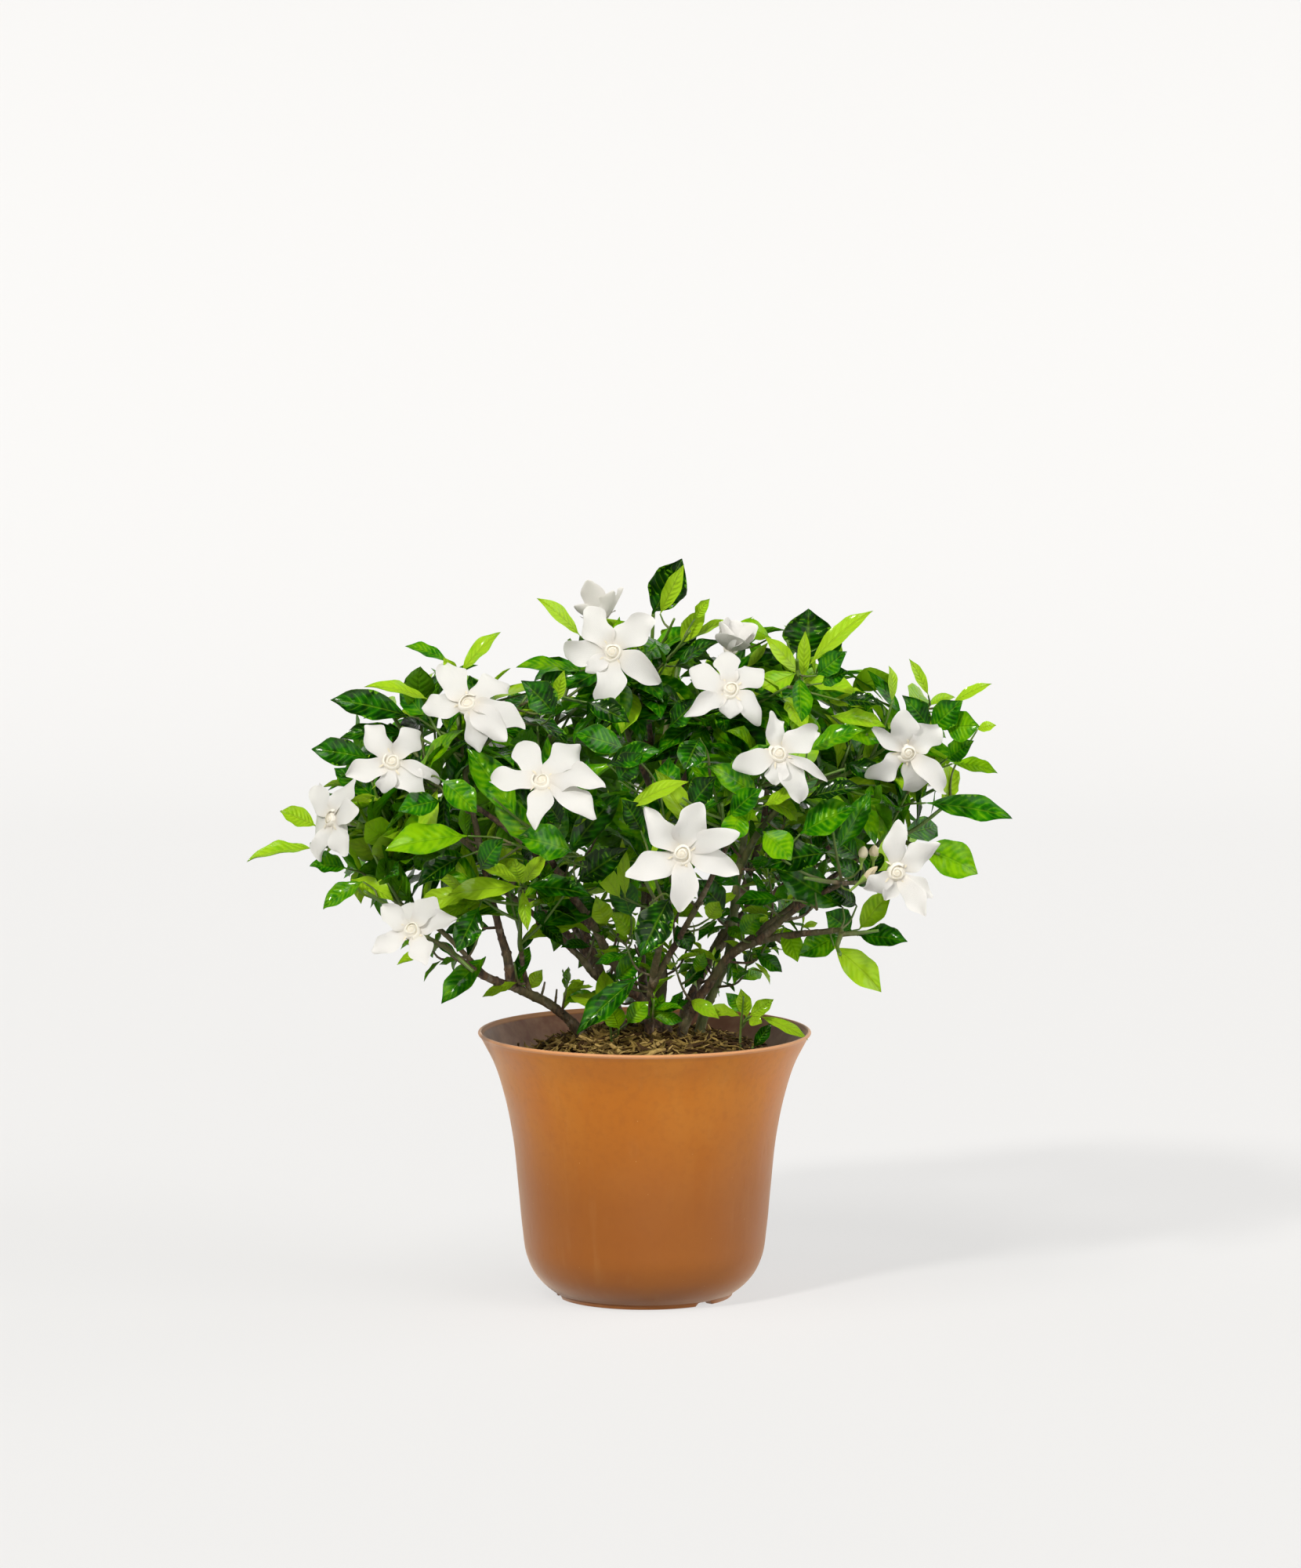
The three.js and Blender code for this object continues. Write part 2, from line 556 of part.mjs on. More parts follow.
// The green cup and the short stalk that hold a flower.
function calyx(flowerShape, stalkFrom) {
  const facing = facingOf(flowerShape);
  const heel = heelOf(flowerShape).addScaledVector(facing, -GAP);
  const foot = heel.clone().addScaledVector(facing, -CALYX_LENGTH);
  const way = [stalkFrom.toArray(), foot.toArray()];
  return [
    bar([foot.toArray(), heel.toArray()], TWIG_RADIUS, CALYX_RADIUS, TWIG_SIDES + 1, 1),
    bar(way, TWIG_RADIUS, TWIG_RADIUS, TWIG_SIDES, 1),
  ];
}

// The thin twig from a branch's first twig to just under the foot of a bud.
function budTwig({ at, to }, curve) {
  const back = vector(at).sub(vector(to)).normalize();
  const end = vector(at).addScaledVector(back, BUD_TWIG_RADIUS + GAP);
  const way = [twigAxis(curve, BUD_TWIG_SHARE).toArray(), end.toArray()];
  return bar(way, BUD_TWIG_RADIUS, BUD_TWIG_RADIUS, TWIG_SIDES, 1);
}

function branchTo(tip, root, owner, firstTwig) {
  const flowerShape = FLOWERS[tip];
  const end = flowerShape
    ? heelOf(flowerShape).addScaledVector(facingOf(flowerShape), -CALYX_LENGTH - STALK_LENGTH).toArray()
    : tip;
  const path = twigPath(root, end, firstTwig);
  const curve = new THREE.CatmullRomCurve3(path.map(vector), false, 'centripetal');
  const radius = firstTwig ? TWIG_RADIUS - 0.1 : TWIG_RADIUS + 0.2;
  const parts = [bar(path, radius, TWIG_RADIUS - 0.2, TWIG_SIDES, TWIG_STEPS)];
  if (flowerShape) {
    parts.push(...calyx(flowerShape, curve.getPointAt(0.97)));
  }
  parts.forEach((part) => settle(part, owner));
  return { curve, parts };
}

function leafyBranch(name, { root, tips }) {
  const twigs = [branchTo(tips[0], root, name)];
  const budTwigs = Object.values(BUDS).filter(({ branch }) => branch === name)
    .map((shape) => settle(budTwig(shape, twigs[0].curve), name));
  twigs[0].parts.push(...budTwigs);
  for (const tip of tips.slice(1)) {
    twigs.push(branchTo(tip, root, name, twigs[0].curve));
  }
  return { name, twigs };
}

function leavesOf({ name, twigs }) {
  const parts = [];
  for (const { curve, parts: wood } of twigs) {
    const leaves = [
      ...whorl(curve, 0.55, 2, 0.9, name),
      ...whorl(curve, 0.92, 3, 1, name),
    ];
    leaves.forEach((leaf) => placed.push({ body: leaf, owner: name }));
    parts.push(...wood, ...leaves);
  }
  return joined(parts);
}

function sprout(name, path) {
  const curve = new THREE.CatmullRomCurve3(path.map(vector), false, 'centripetal');
  const wood = settle(bar(path, TWIG_RADIUS, TWIG_RADIUS - 0.3, TWIG_SIDES, TWIG_STEPS), name);
  return { name, twigs: [{ curve, parts: [wood] }] };
}

// ---------------------------------------------------------------- buds

function bud({ at, to, radius }) {
  const [base, tip] = [vector(at), vector(to)];
  const [neck, belly] = [BUD_STALK, BUD_BELLY].map((share) => base.clone().lerp(tip, share).toArray());
  return joined([
    bar([at, neck], TWIG_RADIUS, TWIG_RADIUS, TWIG_SIDES + 1, 1),
    bar([neck, belly], TWIG_RADIUS, radius, TWIG_SIDES + 1, 1),
    bar([belly, to], radius, 0.6, TWIG_SIDES + 1, 1),
  ]);
}

// ---------------------------------------------------------------- assembly

const bodies = { pot: pot(), potting_soil: soil(), fibre_mulch: mulch() };

for (const [name, shape] of Object.entries(STEMS)) {
  bodies[name] = stem(name, shape);
}
for (const [name, shape] of Object.entries(FLOWERS)) {
  bodies[name] = flower(name, shape);
}
const shoots = Object.entries(BRANCHES).map(([name, shape]) => leafyBranch(name, shape));
shoots.push(...Object.entries(SPROUTS).map(([name, path]) => sprout(name, path)));
for (const [name, shape] of Object.entries(BUDS)) {
  bodies[name] = settle(bud(shape), name);
}
placed.push({ body: bodies.pot, owner: 'pot' }, { body: bodies.fibre_mulch, owner: 'fibre_mulch' });
for (const shoot of shoots) {
  bodies[shoot.name] = leavesOf(shoot);
}

const sproutHole = (path) => bar(path, TWIG_RADIUS + GAP, TWIG_RADIUS + GAP, TWIG_SIDES, TWIG_STEPS);
const holes = joined([
  ...Object.values(STEMS).map(rootHole),
  ...Object.values(SPROUTS).map(sproutHole),
]);
bodies.potting_soil = bodies.potting_soil.subtract(holes);
bodies.fibre_mulch = bodies.fibre_mulch.subtract(holes);

const FINISHES = [
  ['pot', '#b4702e', 0.4],
  ['potting_soil', '#2b211a', 0.95],
  ['fibre_mulch', '#7d6537', 0.9],
  ['stem', '#6b5444', 0.85],
  ['flower', '#fbf8f1', 0.6],
  ['bud', '#f1efdc', 0.6],
  ['branch', '#2f7a1c', 0.35],
  ['sprout', '#5aa01f', 0.35],
];
for (const [name, body] of Object.entries(bodies)) {
  const [, colour, roughness] = FINISHES.find(([start]) => name.startsWith(start));
  addNode(name, body, colour, roughness);
}

const gardenia = new THREE.Group();
gardenia.add(...nodes);

export default gardenia;
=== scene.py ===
"""The looks of a potted gardenia: a flared satin pot, mulched soil, woody stems, leaves and white flowers.

Every shape is a loft: rings of points carried along a path and closed by a pole at each end, worked out with
numpy as whole arrays. Sizes are in millimetres until a mesh is made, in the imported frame's axes: +Z up, the
front of the plant faces -Y, and the origin is on the pot's axis at the floor.
"""

import logging
import math
from collections.abc import Callable, Sequence
from dataclasses import dataclass, field
from enum import Enum

import bpy
import numpy as np
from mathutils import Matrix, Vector


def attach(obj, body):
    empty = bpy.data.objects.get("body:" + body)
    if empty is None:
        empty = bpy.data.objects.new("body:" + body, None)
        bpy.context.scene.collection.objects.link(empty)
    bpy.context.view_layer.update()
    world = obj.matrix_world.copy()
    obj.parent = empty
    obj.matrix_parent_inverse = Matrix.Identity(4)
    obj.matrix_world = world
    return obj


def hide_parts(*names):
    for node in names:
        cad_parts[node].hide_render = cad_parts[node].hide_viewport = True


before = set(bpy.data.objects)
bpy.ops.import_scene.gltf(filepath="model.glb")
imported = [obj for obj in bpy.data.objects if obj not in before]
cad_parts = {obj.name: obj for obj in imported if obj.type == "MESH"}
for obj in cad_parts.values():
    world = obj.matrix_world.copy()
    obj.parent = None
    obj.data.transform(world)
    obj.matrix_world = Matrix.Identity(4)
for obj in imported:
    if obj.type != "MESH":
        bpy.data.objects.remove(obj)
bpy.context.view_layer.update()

LOG = logging.getLogger("gardenia")
Array = np.ndarray
Random = np.random.Generator
Thing = bpy.types.Object
Material = bpy.types.Material
Socket = bpy.types.NodeSocket
Numbers = Array | float
Signal = "Value | float"
Point = tuple[float, float, float]
Colour = tuple[float, float, float]

MM = 0.001
UP = np.array([0.0, 0.0, 1.0])
ORIGIN: Point = (0.0, 0.0, 0.0)
TURN = 2 * math.pi
HAIR = 1e-9  # far less than any length here


# --- arithmetic


def unit(v: Array) -> Array:
    """Each vector, scaled to length one."""
    return v / np.maximum(np.linalg.norm(v, axis=-1, keepdims=True), HAIR)


def across_of(v: Array, axis: Array) -> Array:
    """The unit part of each vector v that is at right angles to the unit vector axis."""
    return unit(v - np.sum(v * axis, axis=-1, keepdims=True) * axis)


def smoothstep(low: float, high: float, x: Array) -> Array:
    """0 below low, 1 above high, and 3t^2 - 2t^3 between."""
    t = np.clip((x - low) / (high - low), 0, 1)
    return t * t * (3 - 2 * t)


def turns(count: int) -> Array:
    """Angles at even steps round a full turn."""
    return TURN * np.arange(count) / count


def oval(angle: Array, right: Array, up: Array, wide: Numbers = 1.0, high: Numbers | None = None) -> Array:
    """Points round an oval.

    Args:
        angle: the angle of each point from right towards up.
        right: the way of the oval's width, with a length of one.
        up: the way of its height, at right angles to right.
        wide: its radius along right.
        high: its radius along up, the same as wide if it isn't given.

    Returns:
        The points, from the oval's middle.
    """
    high = wide if high is None else high
    return (wide * np.cos(angle))[..., None] * right + (high * np.sin(angle))[..., None] * up


def rolled(side: Array, up: Array, turn: Array) -> tuple[Array, Array]:
    """Two vectors at right angles to each other, turned together from side towards up."""
    return side * np.cos(turn) + up * np.sin(turn), up * np.cos(turn) - side * np.sin(turn)


def size_of(v: Array) -> Array:
    """The length of each vector of an array."""
    return np.linalg.norm(v, axis=-1)


def run_of(path: Array) -> Array:
    """The distance along a path from its start to each of its points."""
    return np.concatenate([[0], np.cumsum(size_of(np.diff(path, axis=0)))])


def scattered(rng: Random, count: int, reach: float, shift: float = 0.0) -> tuple[Array, Array, Array]:
    """Random points, evenly spread on a disc.

    Args:
        rng: what they are drawn from.
        count: how many there are.
        reach: the radius of the disc.
        shift: how far its middle lies to the right of the axis.

    Returns:
        Their x, their y and their angles round the disc's middle.
    """
    radius, turn = reach * np.sqrt(rng.uniform(0, 1, count)), rng.uniform(0, TURN, count)
    return shift + radius * np.cos(turn), radius * np.sin(turn), turn


def smooth_path(points: Sequence[Point], spacing: float) -> Array:
    """A smooth curve through given points, with even steps.

    Each span is a cubic Hermite curve whose end tangents are the mean of the neighbouring chords' slopes.

    Args:
        points: the points that the curve passes through.
        spacing: the length of a step along it.

    Returns:
        The curve's points, (steps + 1, 3).
    """
    p = np.asarray(points, float)
    knots = run_of(p)
    slopes = np.gradient(p, knots, axis=0)
    t = np.linspace(0, knots[-1], 24 * len(p))
    span = np.clip(np.searchsorted(knots, t, side="right") - 1, 0, len(p) - 2)
    width = (knots[span + 1] - knots[span])[:, None]
    s = ((t - knots[span]) / width[:, 0])[:, None]
    curve = (
        (2 * s**3 - 3 * s**2 + 1) * p[span]
        + (s**3 - 2 * s**2 + s) * width * slopes[span]
        + (3 * s**2 - 2 * s**3) * p[span + 1]
        + (s**3 - s**2) * width * slopes[span + 1]
    )
    length = run_of(curve)
    even = np.linspace(0, length[-1], max(3, round(length[-1] / spacing) + 1))
    return np.stack([np.interp(even, length, curve[:, k]) for k in range(3)], axis=1)


@dataclass(frozen=True)
class View:
    """The camera's place, aim and lens, and where it shows points of the plant."""

    at: Point = (4.0, -5000.0, 921.0)
    aim: Point = (4.0, 0.0, 345.0)
    lens_pixels: float = 9627.0
    wide: int = 1660
    high: int = 2000
    sensor_mm: float = 36.0

    def axes(self) -> tuple[Array, Array, Array]:
        """The unit vectors to the right, up and forward of the picture."""
        forward = unit(np.subtract(self.aim, self.at))
        right = unit(np.cross(forward, UP))
        return right, np.cross(right, forward), forward

    def shown(self, points: Array) -> Array:
        """The pixels where the camera shows points: their sideways share of the distance times the lens."""
        right, up, forward = self.axes()
        off = points - np.array(self.at)
        x, y = (off @ right) / (off @ forward), (off @ up) / (off @ forward)
        return np.stack([self.wide / 2 + x * self.lens_pixels, self.high / 2 - y * self.lens_pixels], axis=-1)

    def place(self, pixel: tuple[float, float], depth: float) -> Array:
        """The point at y = depth that the camera shows at a pixel."""
        right, up, forward = self.axes()
        x, y = (pixel[0] - self.wide / 2) / self.lens_pixels, (self.high / 2 - pixel[1]) / self.lens_pixels
        ray = forward + x * right + y * up
        return np.array(self.at) + ray * (depth - self.at[1]) / ray[1]


VIEW = View()


# --- meshes


@dataclass
class Patch:
    """One closed surface, or many alike: its points, its faces, the number of its material and its tags.

    The layout counts the copies, the rings in a copy and the points in a ring. The rim holds the points of
    sharp edges, and under holds the faces of a leaf's underside, all quads before all triangles.
    """

    points: Array
    quads: Array
    triangles: Array
    material: int = 0
    layout: tuple[int, int, int] = (1, 1, 1)
    tags: dict[str, Array] = field(default_factory=dict)
    rim: Array | None = None
    under: Array | None = None

    def __post_init__(self) -> None:
        """Starts without sharp edges and undersides."""
        self.rim = np.zeros(len(self.points), bool)
        self.under = np.zeros(len(self.quads) + len(self.triangles))

    def tag(self, **values: Numbers) -> "Patch":
        """Stores numbers on the points.

        Args:
            values: for each tag one number, a column of one for each copy, or a row of one for each ring, in
                which the poles may come first and last and otherwise take their neighbour's.

        Returns:
            The patch itself.
        """
        copies, stack, around = self.layout
        for name, value in values.items():
            rings = np.asarray(value, float)
            rings = np.pad(rings, 1, mode="edge") if rings.shape == (stack,) else rings
            grid = np.broadcast_to(rings, (copies, stack + 2))
            sides = np.repeat(grid[:, 1:-1], around, axis=1)
            self.tags[name] = np.concatenate([grid[:, :1], sides, grid[:, -1:]], axis=1).reshape(-1)
        return self


def loft(rings: Array, first: Array, last: Array, material: int = 0) -> Patch:
    """Copies of a closed surface: each is a stack of rings between two poles.

    Args:
        rings: (copies, rings, points round a ring, 3); seen along the stack, a ring turns anticlockwise when
            looked at from the last pole.
        first: (copies, 3), the pole before the first ring.
        last: (copies, 3), the pole after the last ring.
        material: the material's place in the piece's list.

    Returns:
        The patch. A copy's points are its first pole, its rings in order and its last pole.
    """
    copies, stack, around, _ = rings.shape
    points = np.concatenate([first[:, None], rings.reshape(copies, -1, 3), last[:, None]], axis=1)
    k = np.arange(around)
    after = (k + 1) % around
    row = 1 + around * np.arange(stack - 1)[:, None]
    side = np.stack([row + k, row + after, row + around + after, row + around + k], axis=-1).reshape(-1, 4)
    final = 1 + around * (stack - 1)
    bottom = np.stack([np.zeros_like(k), 1 + after, 1 + k], axis=-1)
    top = np.stack([np.full_like(k, final + around), final + k, final + after], axis=-1)
    step = points.shape[1] * np.arange(copies)[:, None, None]
    quads, triangles = (side + step).reshape(-1, 4), (np.concatenate([bottom, top]) + step).reshape(-1, 3)
    return Patch(points.reshape(-1, 3), quads, triangles, material, (copies, stack, around))


def piece(name: str, patches: Sequence[Patch], materials: Sequence[Material]) -> Thing:
    """A mesh object at the origin, made of patches given in millimetres.

    Args:
        name: the object's name.
        patches: the surfaces it is made of.
        materials: its materials, in the order that the patches number them.

    Returns:
        The object, smooth, with a sharp edge along every rim.
    """
    starts = np.cumsum([0] + [len(p.points) for p in patches])
    points = np.concatenate([p.points for p in patches]) * MM
    quads, triangles = (
        np.concatenate([getattr(p, kind) + start for p, start in zip(patches, starts)])
        for kind in ("quads", "triangles")
    )
    mesh = bpy.data.meshes.new(name)
    mesh.from_pydata(points.tolist(), [], quads.tolist() + triangles.tolist())

    def store(tag: str, kind: str, domain: str, values: Array) -> None:
        """Keeps one value for each point, edge or face of the mesh."""
        mesh.attributes.new(tag, kind, domain).data.foreach_set("value", values)

    for tag in sorted({t for p in patches for t in p.tags}):
        values = [p.tags.get(tag, np.zeros(len(p.points))) for p in patches]
        store(tag, "FLOAT", "POINT", np.concatenate(values).astype(np.float32))
    numbers = [np.full(len(getattr(p, kind)), p.material) for kind in ("quads", "triangles") for p in patches]
    mesh.polygons.foreach_set("material_index", np.concatenate(numbers).astype(np.int32))
    sides = [p.under[: len(p.quads)] for p in patches] + [p.under[len(p.quads) :] for p in patches]
    under = np.concatenate(sides)
    if under.any():
        store("under", "FLOAT", "FACE", under.astype(np.float32))
    mesh.polygons.foreach_set("use_smooth", np.ones(len(mesh.polygons), bool))
    rim = np.concatenate([p.rim for p in patches])
    if rim.any():
        ends = np.empty(2 * len(mesh.edges), np.int32)
        mesh.edges.foreach_get("vertices", ends)
        store("sharp_edge", "BOOLEAN", "EDGE", rim[ends].reshape(-1, 2).all(axis=1))
    for material in materials:
        mesh.materials.append(material)
    mesh.update()
    made = bpy.data.objects.new(name, mesh)
    bpy.context.scene.collection.objects.link(made)
    return made


def settle(made: Thing, slot: str, *nodes: str) -> Thing:
    """Ties a piece to the frame's one body and hides the nodes that it stands for."""
    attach(made, "root")
    if nodes:
        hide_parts(*nodes)
    LOG.info("%s: %d faces", made.name, len(made.data.polygons))
    return made


# --- shapes

SCAR_GAP, WIDE_SCAR_GAP = 11, 17  # from one leaf scar to the next, in two rows


def tube(
    path: Array, radii: Array, sides: int, material: int = 0, knots: float = 0.0, seed: int = 0
) -> Patch:
    """A closed round bar along a path.

    A ring's frame is the path's direction and the axis that the path moves along least, so it never flips.
    The radius of a knotted bar swells every few millimetres, as at leaf scars, and wanders a little.

    Args:
        path: (n, 3), the bar's middle line.
        radii: its radius at each point of the path.
        sides: how many points each ring has.
        material: the material's place in the piece's list.
        knots: how much the bar swells at a knot, as a share of its radius.
        seed: what the wandering is drawn from.

    Returns:
        The patch, with the distance from the bar's start in millimetres as the tag "along".
    """
    along = run_of(path)
    tangent = unit(np.gradient(path, axis=0))
    _, _, directions = np.linalg.svd(tangent)
    normal = across_of(np.broadcast_to(directions[2], tangent.shape), tangent)
    angle = turns(sides)
    phase = np.random.default_rng(seed).uniform(0, TURN, 4)
    wander = 0.06 * np.sin(2 * angle[None] + along[:, None] / 7 + phase[0])
    wander = wander + 0.05 * np.sin(3 * angle[None] - along[:, None] / 4.1 + phase[1])
    swell = np.maximum(np.cos(TURN * along / SCAR_GAP + phase[2]), 0) ** 14
    swell = swell + 0.7 * np.maximum(np.cos(TURN * along / WIDE_SCAR_GAP + phase[3]), 0) ** 20
    radius = np.asarray(radii)[:, None] * (1 + (wander if knots else 0) + knots * swell[:, None])
    rings = path[:, None] + oval(angle, normal[:, None], np.cross(tangent, normal)[:, None], radius)
    return loft(rings[None], path[:1], path[-1:], material).tag(along=along)


@dataclass
class Blades:
    """Leaves or petals: where each starts, which way it grows and faces, its size, tones and how it bends.

    Each field has a row for each blade, or one number for all of them.
    """

    base: Array
    along: Array
    face: Array
    length: Numbers
    width: Numbers
    age: Numbers
    shade: Numbers
    droop: Numbers = 0.0
    curl: Numbers = 0.0
    fold: Numbers = 0.0
    wave: Numbers = 0.0
    twist: Numbers = 0.0
    roll: Numbers = 0.0
    sweep: Numbers = 0.0

    def __post_init__(self) -> None:
        """Repeats a number that is for all the blades."""
        for name in self.__dataclass_fields__:
            if np.ndim(getattr(self, name)) == 0:
                setattr(self, name, np.full(len(self.base), float(getattr(self, name))))

    @classmethod
    def join(cls, parts: "Sequence[Blades]") -> "Blades":
        """All the blades of several sets as one set."""
        return cls(**{n: np.concatenate([getattr(p, n) for p in parts]) for n in cls.__dataclass_fields__})

    def pick(self, keep: Array) -> "Blades":
        """The blades that a mask or an index keeps."""
        return Blades(**{n: getattr(self, n)[keep] for n in self.__dataclass_fields__})

    def __len__(self) -> int:
        """How many blades there are."""
        return len(self.base)


def blade_patch(
    b: Blades,
    outline: Callable[[Array], Array],
    rings: int,
    around: int,
    thickness: float,
    material: int = 0,
    waves: float = 2.5,
) -> Patch:
    """Many thin closed blades, bent, folded, waved and twisted.

    A ring is a flat loop: u = cos(angle) goes from edge to edge over the upper side and back under it. At the
    share v of the length, the middle line has turned down by droop * v + curl * v^4, has moved sideways by
    sweep * v^2 of the length, and the ring has turned about it by twist * v. From the midrib to an edge the
    section is an arc that turns by a = fold + roll * v^3, so its point u lies sin(a u) / a out and
    (1 - cos(a u)) / a up. The edges ripple and are uneven by shares of wave.

    Args:
        b: the blades.
        outline: the half width at each share of the length, from 0 to 1.
        rings: how many rings each blade has between its two poles.
        around: how many points each ring has, an even number.
        thickness: how thick a blade is at its midrib, in millimetres.
        material: the material's place in the piece's list.
        waves: how many ripples an edge has.

    Returns:
        The patch, with the tags along (0 to 1), across (-1 to 1), age, shade, the rims and the undersides.
    """
    count, grow = len(b), np.arange(rings + 2) / (rings + 1)
    v = 0.35 * 0.5 * (1 - np.cos(math.pi * grow)) + 0.65 * grow
    bend = b.droop[:, None] * v + b.curl[:, None] * v**4
    middle = 0.5 * (bend[:, 1:] + bend[:, :-1])
    steps = np.diff(v) * b.length[:, None]
    forward, down = (np.pad(np.cumsum(f(middle) * steps, axis=1), ((0, 0), (1, 0))) for f in (np.cos, np.sin))
    centre = b.base[:, None] + forward[..., None] * b.along[:, None] - down[..., None] * b.face[:, None]
    lift = b.face[:, None] * np.cos(bend)[..., None] + b.along[:, None] * np.sin(bend)[..., None]
    side = np.broadcast_to(np.cross(b.face, b.along)[:, None], lift.shape)
    centre = centre + (b.sweep * b.length)[:, None, None] * v[None, :, None] ** 2 * side
    side, lift = rolled(side, lift, (b.twist[:, None] * v)[..., None])
    angle = turns(around)
    u = np.cos(angle)
    inner, wave = v[None, 1:-1, None], b.wave[:, None, None]
    phase = 9 * b.shade[:, None, None] * np.sign(u)
    half = (0.5 * b.width[:, None] * outline(v))[:, 1:-1, None]
    half = half * (1 + 0.9 / waves * wave * np.sin(1.3 * waves * TURN * inner + 2.3 * phase + 1))
    arc = b.fold[:, None, None] + b.roll[:, None, None] * inner**3
    out = u * np.sinc(arc * u / math.pi)
    rise = 0.5 * arc * u**2 * np.sinc(0.5 * arc * u / math.pi) ** 2
    rise = rise + wave * u**2 * np.sin(waves * TURN * inner + phase)
    height = half * rise + 0.5 * thickness * np.sin(angle) * np.minimum(1, half / (2 * thickness))
    points = centre[:, 1:-1, None] + (half * out)[..., None] * side[:, 1:-1, None]
    points = points + height[..., None] * lift[:, 1:-1, None]
    made = loft(points, centre[:, 0], centre[:, -1], material)
    made.tag(along=v, age=b.age[:, None], shade=b.shade[:, None])
    made.tags["across"] = np.tile(np.concatenate([[0], np.tile(u, rings), [0]]), count)
    made.rim = np.tile(np.concatenate([[True], np.tile(np.abs(u) > 0.999, rings), [True]]), count)
    made.under = np.tile(np.sin(angle + TURN / around / 2) < 0, count * (rings + 1))
    return made


def leaf_outline(v: Array) -> Array:
    """A leaf's half width: a narrow stalk, then an oval widest at its middle, then a drawn-out tip."""
    t = np.clip((v - 0.06) / 0.94, 0, 1)
    oval_part = t**0.95 * (1 - t) ** 0.9 / (0.514**0.95 * 0.486**0.9)
    return np.maximum(oval_part * (1 - 0.42 * smoothstep(0.66, 1.0, t)), 0.07 * (1 - v))


def petal_outline(v: Array) -> Array:
    """A petal's half width: a broad foot beside its neighbours', full past its middle, then a blunt point."""
    t = v**1.15
    oval_part = np.sqrt(4 * t * np.maximum(1 - t, 0))
    return np.maximum(oval_part * (1 - 0.36 * smoothstep(0.62, 1.0, v)), 0.34 * (1 - v))


# --- shaders


class Value:
    """A number socket of a material, which adds Math nodes when it is used in an expression."""

    def __init__(self, graph: "Graph", socket: Socket) -> None:
        """Wraps a socket of a graph."""
        self.graph, self.socket = graph, socket

    def math(self, operation: str, *others: Signal) -> "Value":
        """The result of a Math node on this value and others."""
        return self.graph.math(operation, self, *others)

    def __add__(self, other: Signal) -> "Value":
        """The sum."""
        return self.math("ADD", other)

    __radd__ = __add__

    def __sub__(self, other: Signal) -> "Value":
        """The difference."""
        return self.math("SUBTRACT", other)

    def __rsub__(self, other: float) -> "Value":
        """A number less this value."""
        return self.graph.math("SUBTRACT", other, self)

    def __mul__(self, other: Signal) -> "Value":
        """The product."""
        return self.math("MULTIPLY", other)

    __rmul__ = __mul__

    def __pow__(self, other: Signal) -> "Value":
        """This value to a power."""
        return self.math("POWER", other)

    def __abs__(self) -> "Value":
        """The size of this value without its sign."""
        return self.math("ABSOLUTE")

    def fract(self) -> "Value":
        """The part after the decimal point."""
        return self.math("FRACT")

    def clamp(self) -> "Value":
        """This value held between 0 and 1."""
        return self.math("MAXIMUM", 0.0).math("MINIMUM", 1.0)

    def between(self, low: float, high: float) -> "Value":
        """0 at low, 1 at high and a smooth step from one to the other."""
        sockets = {0: self, 1: low, 2: high, 3: 0.0, 4: 1.0}
        node = self.graph.node("MapRange", sockets, interpolation_type="SMOOTHSTEP")
        return Value(self.graph, node.outputs[0])


